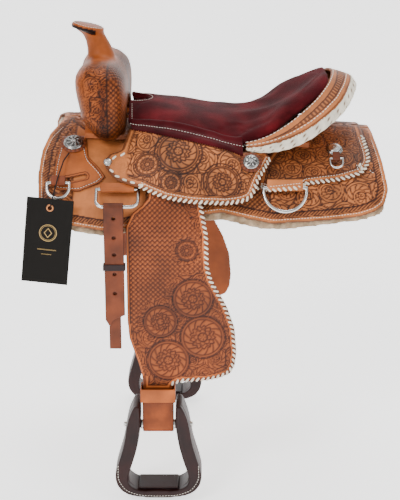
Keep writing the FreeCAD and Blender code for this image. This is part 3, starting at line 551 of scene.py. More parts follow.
# Drops (x, z) points in mm onto the outside of a piece, seen from its own side.
def onSurface(tree, run, side, lift):
    spots, ups = [], []
    for x, z in run:
        start = Vector((x * mm, side * 0.45, z * mm))
        hit, normal, _, _ = tree.ray_cast(start, Vector((0, -side, 0)))
        if hit is None or hit.y * side < 0.02:
            hit, normal, _, _ = tree.find_nearest(Vector((x * mm, side * 0.2, z * mm)))
        if normal.y * side < 0:
            normal = -normal
        spots.append(hit + normal * lift * mm)
        ups.append(normal)
    return eased([tuple(p) for p in spots], 2), eased([tuple(u) for u in ups], 2)


def bothSidesOf(surface, run, lift):
    made = [onSurface(surface, run, side, lift) for side in (-1, 1)]
    return [m[0] for m in made], [m[1] for m in made]


# skirts, jockeys and fenders
sheets = {
    "skirt": {"nodes": ("skirt_near", "skirt_off"), "voxel": 2.3, "depth": 0.9, "look": "tan"},
    "rearJockeys": {"nodes": ("rear_jockeys",), "voxel": 1.8, "depth": 1.0, "look": "tan"},
    "seatJockey": {"nodes": ("seat_jockey_near", "seat_jockey_off"), "voxel": 1.7, "depth": 1.0, "look": "tan"},
    "fender": {"nodes": ("fender_near", "fender_off"), "voxel": 1.8, "depth": 1.1, "look": "fender"},
    "rigging": {"nodes": ("rigging_leather_near", "rigging_leather_off"), "voxel": 1.4, "depth": 0.8,
                "look": "plainTan"},
}
# distances in mm: from the sheet's edge for borders, along X (s) and round the barrel (t) for panels
skirtTooling = {"outerRail": 9.0, "innerRail": 18.6, "rope": (10.0, 17.0), "ropePitch": 6.0, "panel": 19.4,
                "rearPanel": 128, "frontPanel": -232, "plainAhead": -100, "plainAbove": 300,
                "corner": (295, 342, 30), "stem": 46.0}
jockeyTooling = {"rails": (12.5, 15.0), "panel": 15.5, "border": 10.5, "flap": (-136, -126), "stem": 40.0,
                 "squash": 0.86, "ringGap": 1.12, "flowers": [(-39, 166, 33), (40, 211, 26), (-95, 186, 19),
                                                             (-52, 216, 17)]}
rearTooling = {"shift": (400, 13), "darker": 0.82}
fenderTooling = {"laceBorder": 10.0, "plainBorder": 4.5, "stem": 36.0, "leaves": 1.42, "darker": 0.72,
                 "lacedBehind": -30, "lacedBelow": -415,
                 "flowers": [(-24, -169, 20), (-13, -262, 37), (-73, -307, 31), (5, -338, 41), (-59, -384, 39)]}
# Dark band along each sheet's edge, in mm: on plain edges the dyed edge; on laced edges it is widened into
# painted shadow between and under the laces. side: how dark the cut sides are.
darkEdgeAndLaceShadow = {"laced": 6.6, "plain": 2.0, "side": 0.85}


def skirtPattern(s, t, edge):
    spec = skirtTooling
    ropeStart, ropeEnd = spec["rope"]
    strip = rope(s + t, spec["ropePitch"]) * fade(ropeStart, ropeStart + 1, edge)
    strip = strip * (1 - fade(ropeEnd, ropeEnd + 1, edge))
    rails = np.maximum(line(edge, spec["outerRail"], 0.8), line(edge, spec["innerRail"], 0.8))
    flowers = scrolls(s, t, spec["stem"], 4)
    cornerS, cornerT, cornerRadius = spec["corner"]
    corner, reach = roundel(s - cornerS, t - cornerT, cornerRadius)
    flowers = np.where(reach < 1.0, corner, flowers)
    rear, front = s > spec["rearPanel"], s < spec["frontPanel"]
    plain = (s < spec["plainAhead"]) & (t < spec["plainAbove"])
    inner = np.where(rear | front, flowers, np.where(plain, 1.0, basket(s, t)))
    inner = inner * (1 - np.maximum(line(s, spec["rearPanel"], 1.1), line(s, spec["frontPanel"], 1.1)))
    inside = fade(spec["panel"], spec["panel"] + 1, edge)
    outside = (1 - fade(ropeEnd, spec["innerRail"], edge)) * (1 - fade(ropeStart, ropeStart + 1, edge))
    raised = strip + outside + inner * inside
    cover = fade(spec["outerRail"] - 1, spec["outerRail"], edge)
    return np.clip(raised - rails * 0.9 * (1 - inside), 0, 1), cover


def jockeyPattern(s, t, edge):
    spec = jockeyTooling
    flowers = scrolls(s, t, spec["stem"], 11)
    for cs, ct, radius in spec["flowers"]:
        one, reach = roundel((s - cs) * spec["squash"], t - ct, radius)
        flowers = np.where(reach < 1.0, one, flowers * (1 - line(reach, spec["ringGap"], 0.04)))
    inside = fade(spec["panel"], spec["panel"] + 1, edge)
    groove = np.maximum.reduce([line(edge, rail, 0.7) for rail in spec["rails"]])
    raised = np.where(inside > 0.01, flowers * inside, 1 - groove)
    flap = 1 - fade(*spec["flap"], s)
    cover = fade(spec["border"], spec["border"] + 1, edge) * (1 - 0.9 * flap)
    return np.clip(raised, 0, 1), cover


def rearJockeyPattern(s, t, edge):
    alongShift, downShift = rearTooling["shift"]
    raised, _ = jockeyPattern(s + alongShift, t + downShift, edge)
    return raised * rearTooling["darker"], fade(jockeyTooling["border"], jockeyTooling["border"] + 1, edge)


def fenderPattern(s, t, edge):
    spec = fenderTooling
    raised = basket(s, t)
    near = np.full(s.shape, 9.0)
    flowers = scrolls(s, t, spec["stem"], 21)
    for cx, cz, radius in spec["flowers"]:
        one, reach = roundel(s - cx, t - cz, radius)
        raised = np.where((reach < spec["leaves"]) & (near > 1.0), flowers, raised)
        near = np.minimum(near, reach)
        raised = np.where(reach < 1.0, one, raised)
    floral = (s + 0.55 * t > -0.55 * 262 + 66) | (t < -300 + 0.2 * s)
    raised = np.where((near > spec["leaves"]) & floral, flowers, raised)
    raised = np.where(floral | (near < spec["leaves"]), raised * spec["darker"], raised)
    raised = raised * (1 - line(near, 1.04, 0.03))
    laced = (s > spec["lacedBehind"]) | (t < spec["lacedBelow"])
    start = np.where(laced, spec["laceBorder"], spec["plainBorder"])
    rim = fade(1.4, 2.4, edge - start)
    groove = line(edge, start + 1.0, 0.8)
    return np.clip(raised * rim + (1 - rim) * (1 - groove), 0, 1), fade(-0.5, 0.5, edge - start)


def riggingPattern(s, t, edge):
    return 1 - line(edge, 5.0, 0.7), (edge > 0.1) * 1.0


patternOf = {"skirt": skirtPattern, "rearJockeys": rearJockeyPattern, "seatJockey": jockeyPattern,
             "fender": fenderPattern, "rigging": riggingPattern}
made = {}
for stem, spec in sheets.items():
    for node in spec["nodes"]:
        name = stem if len(spec["nodes"]) == 1 else stem + node.rsplit("_", 1)[1].capitalize()
        obj = softCopy(node, name, spec["voxel"])
        where = points(obj)
        if stem == "fender":
            out = np.zeros_like(where)
            out[:, 1] = np.sign(where[:, 1])
            around = where[:, 2] / mm
        else:
            out, around = barrelDirection(where)
        facing = (out * normals(obj)).sum(axis=1)
        edge = edgeDistance(where, facing)
        raised, cover = patternOf[stem](where[:, 0] / mm, around, edge)
        tool(obj, raised, cover * (facing > 0.3), spec["depth"])
        laced = np.full(len(where), "ockey" in stem)
        if stem == "fender":
            laced = ((where[:, 0] > fenderTooling["lacedBehind"] * mm)
                     | (where[:, 2] < fenderTooling["lacedBelow"] * mm))
        # Painted shadow: the wider dark band along laced edges stands in for the shade between the laces; plain
        # edges keep only a narrow dyed edge.
        band = np.where(laced, darkEdgeAndLaceShadow["laced"], darkEdgeAndLaceShadow["plain"])
        attribute(obj, "edge", np.where(facing > 0.3, 1 - fade(-0.8, 0.8, edge - band), darkEdgeAndLaceShadow["side"]))
        dress(obj, spec["look"], bodyOf[node], node)
        made[name] = obj
print("tooled sheets:", len(made), "pieces")


# swell, horn and cantle
swellTooling = {"middle": (-184, 84), "round": 62, "rearFrom": -168, "stem": 32.0, "stamp": 6.5,
                "low": (18.0, 22.0), "high": (132.0, 146.0)}


def toolSwell(obj):
    spec = swellTooling
    where, facing = points(obj), normals(obj)
    s, t, y = where[:, 0] / mm, where[:, 2] / mm, where[:, 1] / mm
    fromX, fromZ = s - spec["middle"][0], t - spec["middle"][1]
    around = np.arctan2(fromZ, fromX) * spec["round"]
    sideOn = np.abs(facing[:, 1]) > 0.55
    u, v = np.where(sideOn, s, y), np.where(sideOn, t, around)
    flowers = scrolls(u, v, spec["stem"], 31)
    raised = np.where(s > spec["rearFrom"], basket(u, v, spec["stamp"]), flowers)
    seam = line(s, spec["rearFrom"], 1.6)
    lower = fade(*spec["low"], t) * (1 - fade(*spec["high"], t - 0.10 * np.abs(y)))
    calm = 0.45 + 0.55 * fade(-0.1, 0.3, np.sin(s / 26.0 + 1.9) + 0.3 * np.cos(t / 30.0))
    outside = (facing * np.stack([fromX, y * 0.35, fromZ], axis=1)).sum(axis=1) > 0
    tool(obj, np.clip(raised * (1 - seam), 0, 1), lower * outside * calm, 1.0)


throat = {"rings": [(-213.0, 200.5, 29.0, 27.0), (-208.5, 196.0, 25.5, 25.0), (-202.0, 188.0, 20.0, 21.0),
                    (-197.5, 176.0, 18.5, 19.0), (-193.5, 160.0, 20.5, 21.0), (-189.5, 144.0, 26.0, 27.0),
                    (-187.0, 132.0, 34.0, 38.0)], "tilt": 12.0}


# Closed stack of ovals: x, z, half depth, half width of each, in mm.
def throatMesh(spec, sides=40):
    work = bmesh.new()
    rows = []
    for n, (x, z, deep, wide) in enumerate(spec["rings"]):
        lean = math.radians(spec["tilt"]) * (1 - n / (len(spec["rings"]) - 1))
        rows.append([work.verts.new(((x + deep * math.cos(a) * math.cos(lean)) * mm, wide * math.sin(a) * mm,
                                     (z - deep * math.cos(a) * math.sin(lean)) * mm))
                     for a in (2 * math.pi * k / sides for k in range(sides))])
    for one, two in zip(rows, rows[1:]):
        for k in range(sides):
            n = (k + 1) % sides
            work.faces.new((one[k], two[k], two[n], one[n]))
    work.faces.new(rows[0])
    work.faces.new(rows[-1][::-1])
    bmesh.ops.recalc_face_normals(work, faces=work.faces)
    mesh = bpy.data.meshes.new("throat")
    work.to_mesh(mesh)
    work.free()
    return mesh


# Smooths only where weight is above 0, so one piece flows into the next.
def easedWhere(obj, weight, rounds):
    group = obj.vertex_groups.new(name="ease")
    for n, w in enumerate(weight):
        if w > 0.01:
            group.add([n], float(w), "REPLACE")
    layer = obj.modifiers.new("flow", "SMOOTH")
    layer.factor = 0.6
    layer.iterations = rounds
    layer.vertex_group = "ease"
    baked(obj)
    smoothShaded(obj)


pommel = {"voxel": 2.2, "capTilt": 12.0, "capFoot": (-213.0, 0.0, 198.5), "capMiddleUp": 4.5,
          "neckFoot": (146, 24), "neckX": -204, "flowRounds": 110, "dome": 2.2, "domeReach": 32,
          "ringAt": 24.5, "blackBand": (-4, 5.6), "blackFrom": 24, "blackAbove": 0.17,
          "blackAhead": -0.196, "darkBandX": -176}
slope = math.radians(pommel["capTilt"])
capAxis = np.array([math.sin(slope), 0, math.cos(slope)])
capFoot = np.array(pommel["capFoot"])
swell = joinedCopy(("swell_cover", "horn_wrap", "horn_cap"), "swellAndHorn", pommel["voxel"], 4,
                   throatMesh(throat))
where = points(swell)
height = where[:, 2] / mm
footAt, footReach = pommel["neckFoot"]
nearFoot = np.abs(height - footAt) / footReach
nearCap = np.abs(((where / mm - capFoot) @ capAxis) + 4) / 10
fromNeck = np.hypot(where[:, 0] / mm - pommel["neckX"], where[:, 1] / mm)
weight = np.maximum(1 - fade(0.4, 1.2, nearFoot), (1 - fade(0.3, 1.1, nearCap)) * (1 - fade(16, 26, fromNeck)))
easedWhere(swell, weight * (height > 130), pommel["flowRounds"])
toolSwell(swell)
where = points(swell)
high = (where / mm - capFoot) @ capAxis
flatOut = np.linalg.norm((where / mm - capFoot) - np.outer(high, capAxis), axis=1)
onCap = (high > -2) & (flatOut < 36)
dome = np.clip(pommel["dome"] * (1 - (flatOut / pommel["domeReach"]) ** 2), 0, 3)
putPoints(swell, where + np.outer(np.where(onCap & (high > 4), dome, 0), capAxis) * mm)
lowBand, highBand = pommel["blackBand"]
black = (high < highBand) & (high > lowBand) & (flatOut > pommel["blackFrom"])
black = black & (where[:, 2] > pommel["blackAbove"]) & (where[:, 0] < pommel["blackAhead"])
carved = np.zeros(len(where))
swell.data.attributes["carve"].data.foreach_get("value", carved)
capRing = line(flatOut, pommel["ringAt"], 0.9) * (high > 4)
attribute(swell, "carve", np.where(black, 1.0, np.where(onCap, capRing, carved)))
low = where[:, 2] / mm
# Darkens an upright band across the swell, below about 112 to 140 mm, and darkens the swell towards its bottom.
darkBandAndFoot = line(where[:, 0] / mm, pommel["darkBandX"], 9) * (1 - fade(112, 140, low))
darkBandAndFoot = darkBandAndFoot + 0.7 * (1 - fade(8, 40, low))
attribute(swell, "edge", np.clip(np.maximum(black * 1.0, darkBandAndFoot), 0, 1))
dress(swell, "swell", "saddle", "swell_cover", "horn_wrap", "horn_cap")
capMiddle = (capFoot + capAxis * pommel["capMiddleUp"]) * mm


# Angle of each point round the cantle's centre.
def cantleAngle(where, across):
    return np.arctan2(across / mm, where[:, 0] / mm - cantleMiddle)


cantleMiddle = 90.0
rollSpec = {"ribStart": 13.0, "groove": 12.0, "cover": 10.0, "round": 165, "ribPitch": 7.0}
roll = softCopy("cheyenne_roll", "cheyenneRoll", 1.6, 5)
where, facing = points(roll), normals(roll)
angle = cantleAngle(where, np.abs(where[:, 1]))
upper = fade(0.2, 0.5, facing[:, 2])
rollEdge = edgeDistance(where, facing[:, 2])
ribStart = rollSpec["ribStart"]
ribs = rope(angle * rollSpec["round"], rollSpec["ribPitch"]) * fade(ribStart, ribStart + 1, rollEdge)
band = np.where(rollEdge > ribStart, 0.35 + 0.65 * ribs, 1 - line(rollEdge, rollSpec["groove"], 0.8))
cover = upper * fade(rollSpec["cover"], rollSpec["cover"] + 1, rollEdge)
tool(roll, np.clip(band, 0, 1), cover, 0.9, np.where(facing[:, 2] > 0.3, rollEdge, 3))
dress(roll, "tan", "saddle", "cheyenne_roll")

bindingSpec = {"slots": 60, "pitch": 15.0, "round": 172, "swell": 0.9, "rows": ((0.66, 0.0), (0.34, 0.4))}
binding = softCopy("cantle_binding", "cantleBinding", 1.4, 4)
where = points(binding)
angle = cantleAngle(where, np.abs(where[:, 1]))
slots = bindingSpec["slots"]
slot = np.clip(((angle / math.pi) * slots).astype(int), 0, slots - 1)
lowest, highest = np.full(slots, 9.0), np.full(slots, -9.0)
np.minimum.at(lowest, slot, where[:, 2])
np.maximum.at(highest, slot, where[:, 2])
marks = np.linspace(0, math.pi, slots * 2 + 1)[1::2]
used = highest > lowest
floorLine = np.interp(angle, marks[used], lowest[used])
across = (where[:, 2] - floorLine) / (np.interp(angle, marks[used], highest[used]) - floorLine)
turns = (angle * bindingSpec["round"] + where[:, 2] / mm * 0.6) / bindingSpec["pitch"]
swelling = 0.5 * np.cos(2 * math.pi * (turns + 0.25))
dashes = np.maximum.reduce([nearLine(turns + lag, 0.16) * line(across, row, 0.08)
                            for row, lag in bindingSpec["rows"]])
tool(binding, 1 - np.clip(dashes, 0, 1), np.ones(len(where)), 1.0)
putPoints(binding, points(binding) + normals(binding) * (swelling * bindingSpec["swell"] * mm)[:, None])
dress(binding, "cream", "saddle", "cantle_binding")

backSpec = {"voxel": 2.0, "round": 170, "stem": 36.0, "border": (10.0, 11.5)}
back = softCopy("cantle_back", "cantleBack", backSpec["voxel"])
where = points(back)
angle = cantleAngle(where, where[:, 1])
flowers = scrolls(angle * backSpec["round"], where[:, 2] / mm, backSpec["stem"], 41)
out = np.stack([np.cos(angle), np.sin(angle), np.zeros(len(angle))], axis=1)
facing = (out * normals(back)).sum(axis=1)
backEdge = edgeDistance(where, facing)
tool(back, flowers, (facing > 0.4) * fade(*backSpec["border"], backEdge), 1.0)
dress(back, "tan", "saddle", "cantle_back")
print("swell, horn and cantle ready")


# suede seat, a padded piece; its waist sags between the alongRise and alongFall distances in mm
seatPad = {"voxel": 4.4, "shrink": 0.4, "pressure": 4.0, "frames": 20, "cap": 2.5, "sag": 11.0,
           "alongRise": (40, 96), "alongFall": (118, 165), "acrossRise": (38, 86), "acrossFall": (112, 140)}


# Voxel copy of the node blown up a little as cloth, held near where it began.
def puffed(node, name, spec):
    obj = softCopy(node, name, spec["voxel"], 2)
    putPoints(obj, points(obj) - normals(obj) * spec["shrink"] * mm)
    before, faceOut = points(obj), normals(obj)
    cloth = obj.modifiers.new("cloth", "CLOTH")
    cloth.settings.use_pressure = True
    cloth.settings.uniform_pressure_force = spec["pressure"]
    cloth.settings.effector_weights.gravity = 0
    cloth.settings.quality = 5
    cloth.point_cache.frame_start = 1
    cloth.point_cache.frame_end = spec["frames"]
    for moment in range(1, spec["frames"] + 1):
        bpy.context.scene.frame_set(moment)
    baked(obj)
    bpy.context.scene.frame_set(1)
    step = points(obj) - before
    grownBy = np.clip((step * faceOut).sum(axis=1), 0, spec["cap"] * mm)
    putPoints(obj, before + faceOut * np.nan_to_num(grownBy)[:, None])
    return obj


seat = puffed("suede_seat", "suedeSeat", seatPad)
subdivided = seat.modifiers.new("finer", "SUBSURF")
subdivided.levels = subdivided.render_levels = 1
baked(seat)
smoothShaded(seat)
where, facing = points(seat), normals(seat)
solid = surfaceOf(frame["nodes"]["suede_seat"])
full = where.copy()
for n, (spot, out) in enumerate(zip(where, facing)):
    hit, normal, _, _ = solid.find_nearest(Vector(spot))
    if (hit - Vector(spot)).dot(normal) > 0:
        full[n] = hit
x, y = full[:, 0] / mm, np.abs(full[:, 1]) / mm
dip = fade(*seatPad["alongRise"], x) * (1 - fade(*seatPad["alongFall"], x))
dip = dip * fade(*seatPad["acrossRise"], y) * (1 - fade(*seatPad["acrossFall"], y))
full[:, 2] -= dip * seatPad["sag"] * mm
putPoints(seat, full)
soften = seat.modifiers.new("soften", "SMOOTH")
soften.factor = 0.4
soften.iterations = 2
baked(seat)
where = points(seat)
nap = np.array([noise.noise(Vector(p) * 26) for p in where])
attribute(seat, "carve", np.clip(0.35 + 0.55 * nap, 0, 1))
attribute(seat, "edge", np.zeros(len(where)))
dress(seat, "suede", "saddle", "suede_seat")
print("suede seat ready")

# fleece under the skirts: curls and tufts in waves per metre, heights in mm
woolSpec = {"voxel": 3.9, "curl": 120, "fineCurl": 260, "tuft": 95, "curlHeight": 0.9, "tuftHeight": 1.3}
wool = softCopy("woolskins", "fleeceLining", woolSpec["voxel"], 1)
where, out = points(wool), normals(wool)
curl = np.array([noise.noise(Vector(p) * woolSpec["curl"]) + 0.6 * noise.noise(Vector(p) * woolSpec["fineCurl"])
                 for p in where])
tuft = np.array([noise.voronoi(Vector(p) * woolSpec["tuft"])[0][0] for p in where])
fluff = woolSpec["curlHeight"] * curl + woolSpec["tuftHeight"] * (0.5 - tuft)
putPoints(wool, where + out * (fluff * mm)[:, None])
attribute(wool, "carve", np.clip(0.35 + tuft * 0.9 - 0.4 * curl, 0, 1))
attribute(wool, "edge", np.zeros(len(where)))
dress(wool, "fleece", "saddle", "woolskins")

# straps, loops, rings and stirrups: node, voxel in mm, rounds of smoothing, finish
# A name without a node of its own stands for a near and an off one.
plainPieces = {
    "frontRiggingLoops": ("front_rigging_loops", 1.5, 3, "plainTan"),
    "rearRiggingLoops": ("rear_rigging_loops", 1.5, 3, "tan"),
    "smallStrapLoops": ("small_strap_loops", 0.9, 3, "strap"),
    "barStraps": ("bar_straps", 2.4, 2, "strap"),
    "leatherTop": ("leather_top", 1.5, 2, "strap"),
    "latigoStrap": ("latigo", 1.3, 3, "strap"),
    "latigoTail": ("latigo_tail", 1.3, 3, "strap"),
    "latigoKeeper": ("latigo_keeper", 0.8, 3, "black"),
    "offBillet": ("off_billet", 1.3, 3, "strap"),
    "stirrupLeather": ("stirrup_leather", 2.0, 3, "loop"),
    "hobbleStrap": ("hobble_strap", 1.1, 3, "fender"),
    "stirrup": ("stirrup_frame", 2.0, 8, "stirrup"),
    "tread": ("stirrup_tread", 1.2, 2, "black"),
    "buckle": ("stirrup_buckle", 0.9, 2, "nickel"),
    "bolt": ("stirrup_bolt", 1.4, 3, "nickel"),
    "frontRing": ("front_rigging_dee", 1.0, 3, "nickel"),
    "rearRing": ("rear_rigging_dee", 1.0, 3, "nickel"),
    "breastRing": ("breast_collar_dee", 1.0, 3, "nickel"),
    "clipRing": ("clip_dee", 0.6, 3, "nickel"),
}
stirrupBand = {"halfWidth": 0.021, "height": 0.8, "depth": 0.25}
count = 0
for stem, (nodeStem, voxel, rounds, look) in plainPieces.items():
    ends = (("", ""),) if nodeStem in frame["nodes"] else (("_near", "Near"), ("_off", "Off"))
    for nodeEnd, word in ends:
        node = nodeStem + nodeEnd
        obj = softCopy(node, stem + word, voxel, rounds)
        where, out = points(obj), normals(obj)
        carve = np.zeros(len(where))
        edge = np.zeros(len(where))
        if look == "stirrup":
            middle = (where[:, 1].min() + where[:, 1].max()) / 2
            inBand = np.abs(where[:, 1] - middle) < stirrupBand["halfWidth"]
            strip = fade(0.4, 0.7, np.abs(out[:, 0])) * inBand
            carve = np.clip(stirrupBand["depth"] - 0.4 * strip, 0, 1)
            putPoints(obj, where + out * (strip * stirrupBand["height"] * mm)[:, None])
        elif look in ("strap", "fender", "loop"):
            edge = fade(0.3, 0.7, np.abs(out[:, 0])) * 0.8
            slope = np.array([noise.noise(Vector(p) * 40) for p in where])
            carve = np.clip(0.2 + 0.3 * slope, 0, 1)
        attribute(obj, "carve", carve)
        attribute(obj, "edge", edge)
        dress(obj, look, bodyOf[node], node)
        made[stem + word] = obj
        count += 1
innerLooks = {"fork": "wood", "horn_core": "nickel", "cantle_board": "wood", "ground_seat": "felt",
              "tree_bars": "plainTan"}
for node, look in innerLooks.items():
    solid = frame["nodes"][node]
    solid.data.materials.clear()
    solid.data.materials.append(finish[look])
print("straps, rings and stirrups ready:", count)


# conchos and rosettes
# A turned disc facing +Z; profile(share) gives its height, relief(share, angle) the engraving.
def lathed(name, radius, profile, relief, place, rings=26, sides=96):
    share = np.linspace(0, 1, rings + 1)[1:]
    angle = np.arange(sides) * 2 * math.pi / sides
    spots, carve = [(0, 0, profile(0.0))], [1 - relief(np.array([0.0]), np.array([0.0]))[0]]
    for s in share:
        cut = relief(np.full(sides, s), angle)
        z = profile(s) + (cut - 0.5) * 0.7 * (0.08 < s < 0.97)
        for k in range(sides):
            spots.append((s * radius * math.cos(angle[k]), s * radius * math.sin(angle[k]), z[k]))
            carve.append(1 - cut[k])
    base = len(spots)
    for k in range(sides):
        spots.append((radius * math.cos(angle[k]), radius * math.sin(angle[k]), 0.0))
        carve.append(0.5)
    spots.append((0, 0, 0.0))
    carve.append(0.5)
    faces = [(0, 1 + k, 1 + (k + 1) % sides) for k in range(sides)]
    for row in range(rings):
        a, b = 1 + row * sides, 1 + (row + 1) * sides
        for k in range(sides):
            n = (k + 1) % sides
            faces.append((a + k, b + k, b + n, a + n))
    last = len(spots) - 1
    faces += [(last, base + (k + 1) % sides, base + k) for k in range(sides)]
    mesh = bpy.data.meshes.new(name)
    mesh.from_pydata([tuple(c * mm for c in s) for s in spots], [], faces)
    mesh.update()
    obj = linked(name, mesh)
    attribute(obj, "carve", np.clip(carve, 0, 1))
    mesh.transform(place)
    smoothShaded(obj)
    return obj


# Matrix that stands local Z square to the barrel at (x, z).
def outward(x, z, radius, side, centre=None):
    cy, cz = centre or (0.0, barrel["axisHeight"] - barrel["tilt"] * x)
    y = cy - math.sqrt(radius ** 2 - (z - cz) ** 2)
    lean = math.atan2(cy - y, z - cz)
    return Matrix.Translation(Vector((x, -side * y, z)) * mm) @ Matrix.Rotation(-side * lean, 4, "X")


def engraved(s, angle):
    rim = np.where(s > 0.86, 0.5 + 0.5 * np.cos(40 * angle), 0.0)
    ring = np.exp(-((s - 0.80) / 0.03) ** 2)
    petals = 0.5 + 0.5 * np.cos(8 * angle + 5 * s)
    leaf = petals * fade(0.3, 0.38, s) * (1 - fade(0.70, 0.76, s)) * (0.7 + 0.3 * np.cos(32 * angle))
    heart = (1 - fade(0.24, 0.3, s)) * (0.7 + 0.3 * np.cos(12 * angle))
    return np.clip(np.maximum.reduce([rim, ring, leaf, heart]), 0, 1)


def roped(s, angle):
    rim = np.where(s > 0.8, 0.5 + 0.5 * np.cos(36 * angle + 6 * s), 0.0)
    return np.clip(np.maximum(rim, 1 - fade(0.70, 0.76, s)), 0, 1)


def stamped(s, angle):
    scallop = 0.5 + 0.5 * np.cos(16 * angle)
    return np.clip(0.55 + 0.45 * np.where(s > 0.7, scallop, 1.0), 0, 1)


buttons = {
    "frontConcho": {"seat": (-233, 6, 230.8, None), "lift": 3.2, "radius": 18.5, "rim": 1.6, "rise": 3.4,
                    "relief": engraved, "look": "silver"},
    "midConcho": {"seat": (92, -17, 207.4, (-30.0, -157.0)), "lift": 7.8, "radius": 14.5, "rim": 1.4,
                  "rise": 3.0, "relief": engraved, "look": "silver"},
    "rearConcho": {"seat": (250, -8, 230.5, None), "lift": 0.0, "radius": 15.5, "rim": 1.4, "rise": 5.0,
                   "relief": roped, "look": "silver"},
    "ferruleScrew": {"seat": (-168, -18, 240.4, None), "lift": 0.0, "radius": 8.0, "rim": 1.5, "rise": 2.0,
                     "relief": roped, "look": "silver"},
    "frontRosette": {"seat": (-233, 6, 230.8, None), "lift": 0.0, "radius": 23.0, "rim": 2.4, "rise": 0.6,
                     "relief": stamped, "look": "strap"},
    "midRosette": {"seat": (92, -17, 207.4, (-30.0, -157.0)), "lift": 5.0, "radius": 20.0, "rim": 2.0,
                   "rise": 0.6, "relief": stamped, "look": "strap"},
}
standsFor = {"frontConcho": "front_conchos", "midConcho": "mid_conchos", "rearConcho": "rear_conchos",
             "ferruleScrew": "ferrule_screws",
             "frontRosette": "leather_rosettes", "midRosette": "leather_rosettes"}
for name, spec in buttons.items():
    for side, word in ((-1, "Near"), (1, "Off")):
        x, z, radius, centre = spec["seat"]
        place = outward(x, z, radius, side, centre) @ Matrix.Translation((0, 0, spec["lift"] * mm))
        rim, rise = spec["rim"], spec["rise"]
        body = lathed(name + word, spec["radius"], lambda s: rim * (1 - s ** 12) + rise * (1 - s * s) ** 0.8,
                      spec["relief"], place)
        dress(body, spec["look"], "saddle", standsFor[name])
print("conchos ready")


# lacing and stitching
# outlines in mm: X, and how far round the barrel (Z on the fender)
jockeyLow = [(-143, 0), (-152, -4), (-165, -8), (-173, -16), (-172, -28), (-163, -38), (-149, -47),
             (-107, -55), (-62, -71), (-13, -79), (47, -82), (76, -79), (92, -73), (99, -62),
             (104, -48), (114, -33), (128, -16)]
jockeyTop = [(118, -1), (90, 2), (74, 0), (56, 10), (18, 20), (-18, 28), (-55, 34), (-92, 38), (-124, 37)]
rearJockeyLow = [(302, 48), (306, 28), (309, 6), (314, -12), (315, -24), (309, -35), (297, -45),
                 (257, -54), (193, -60), (131, -66), (104, -66)]
fenderRight = [(-8, -62), (2, -74), (14, -141), (15, -200), (22, -226), (50, -279), (64, -320), (68, -368),
               (65, -394), (57, -411), (38, -420), (11, -426), (-17, -427), (-40, -429), (-50, -434)]
skirtLow = [(324, 30), (330, 2), (338, -28), (345, -70), (336, -93), (318, -104), (290, -112), (230, -118),
            (133, -123), (94, -116), (40, -104), (-40, -112), (-120, -128), (-178, -134), (-232, -125),
            (-280, -110), (-293, -82), (-295, -41), (-291, -6), (-280, 17), (-262, 30)]
riggingLow = [(-258, 6), (-264, -20), (-268, -54), (-261, -64), (-220, -67), (-183, -54), (-172, -44),
              (-185, -30), (-205, -14), (-211, 6)]

jockeySurface = surfaceOf(made["seatJockeyNear"], made["seatJockeyOff"])
rearSurface = surfaceOf(made["rearJockeys"], made["rearRiggingLoops"])
skirtSurface = surfaceOf(made["skirtNear"], made["skirtOff"])
riggingSurface = surfaceOf(made["riggingNear"], made["riggingOff"])
fenderSurface = {-1: surfaceOf(made["fenderNear"]), 1: surfaceOf(made["fenderOff"])}

for outline, surface, word in ((jockeyLow[7:], jockeySurface, "seatJockeyLace"),
                               (rearJockeyLow, rearSurface, "rearJockeyLace")):
    run = inset(outline, 3.2 if word == "seatJockeyLace" else -3.2)
    lines, ups = bothSidesOf(surface, run, 0.6)
    for n, side in enumerate(("Near", "Off")):
        tilt = 50 if (n == 0) == (word == "seatJockeyLace") else -50
        trail(word + side, [lines[n]], [ups[n]], "lace", 9.4, tilt, "cream", "saddle", 4.0)
lines, ups = bothSidesOf(jockeySurface, inset(jockeyLow[:8], 6.0), 0.5)
trail("seatJockeyFlapStitch", lines, ups, "lace", 16.0, 8, "cream", "saddle", 10.0)
for side, word, body in ((-1, "Near", "near_fender"), (1, "Off", "off_fender")):
    laced, ups = onSurface(fenderSurface[side], inset(fenderRight, -3.4), side, 0.6)
    trail("fenderLace" + word, [laced], [ups], "lace", 9.6, 50 * -side, "cream", body, 4.0, 8)

for word, outline, surface, amount in (("skirtStitch", skirtLow, skirtSurface, -6.5),
                                       ("riggingStitch", riggingLow, riggingSurface, 5.0),
                                       ("jockeyStitch", jockeyLow[7:], jockeySurface, 10.0),
                                       ("rearJockeyStitch", rearJockeyLow, rearSurface, -10.0)):
    lines, ups = bothSidesOf(surface, inset(outline, amount), 0.1)
    trail(word, lines, ups, "stitch", 5.2, 0, "thread", "saddle")
print("lacing and stitching ready")

# seat: the pinked skirt of the suede that lies on the jockey, with its white stitching
seatSurface = surfaceOf(seat)
coveredSurface = surfaceOf(seat, made["seatJockeyNear"], made["seatJockeyOff"])
trim = {"teethDeep": 2.4, "thick": 1.3, "seamRow": 5, "rows": 12, "toothRun": 2.3, "away": (0.8, 0.6),
        "reach": 0.03, "rest": 0.0006, "mostLift": 0.0015, "clear": 0.0018, "tuck": 0.0022,
        "low": [(-127, 31), (-92, 32), (-55, 28), (-18, 22), (18, 14), (56, 4), (78, -5)],
        "high": [(-128, -96, 52), (-92, -104, 56), (-55, -114, 52), (-36, -118, 50), (-18, -121, 47),
                 (0, -123, 43), (18, -126, 38), (36, -128, 32), (55, -130, 26), (78, -132, 22)]}


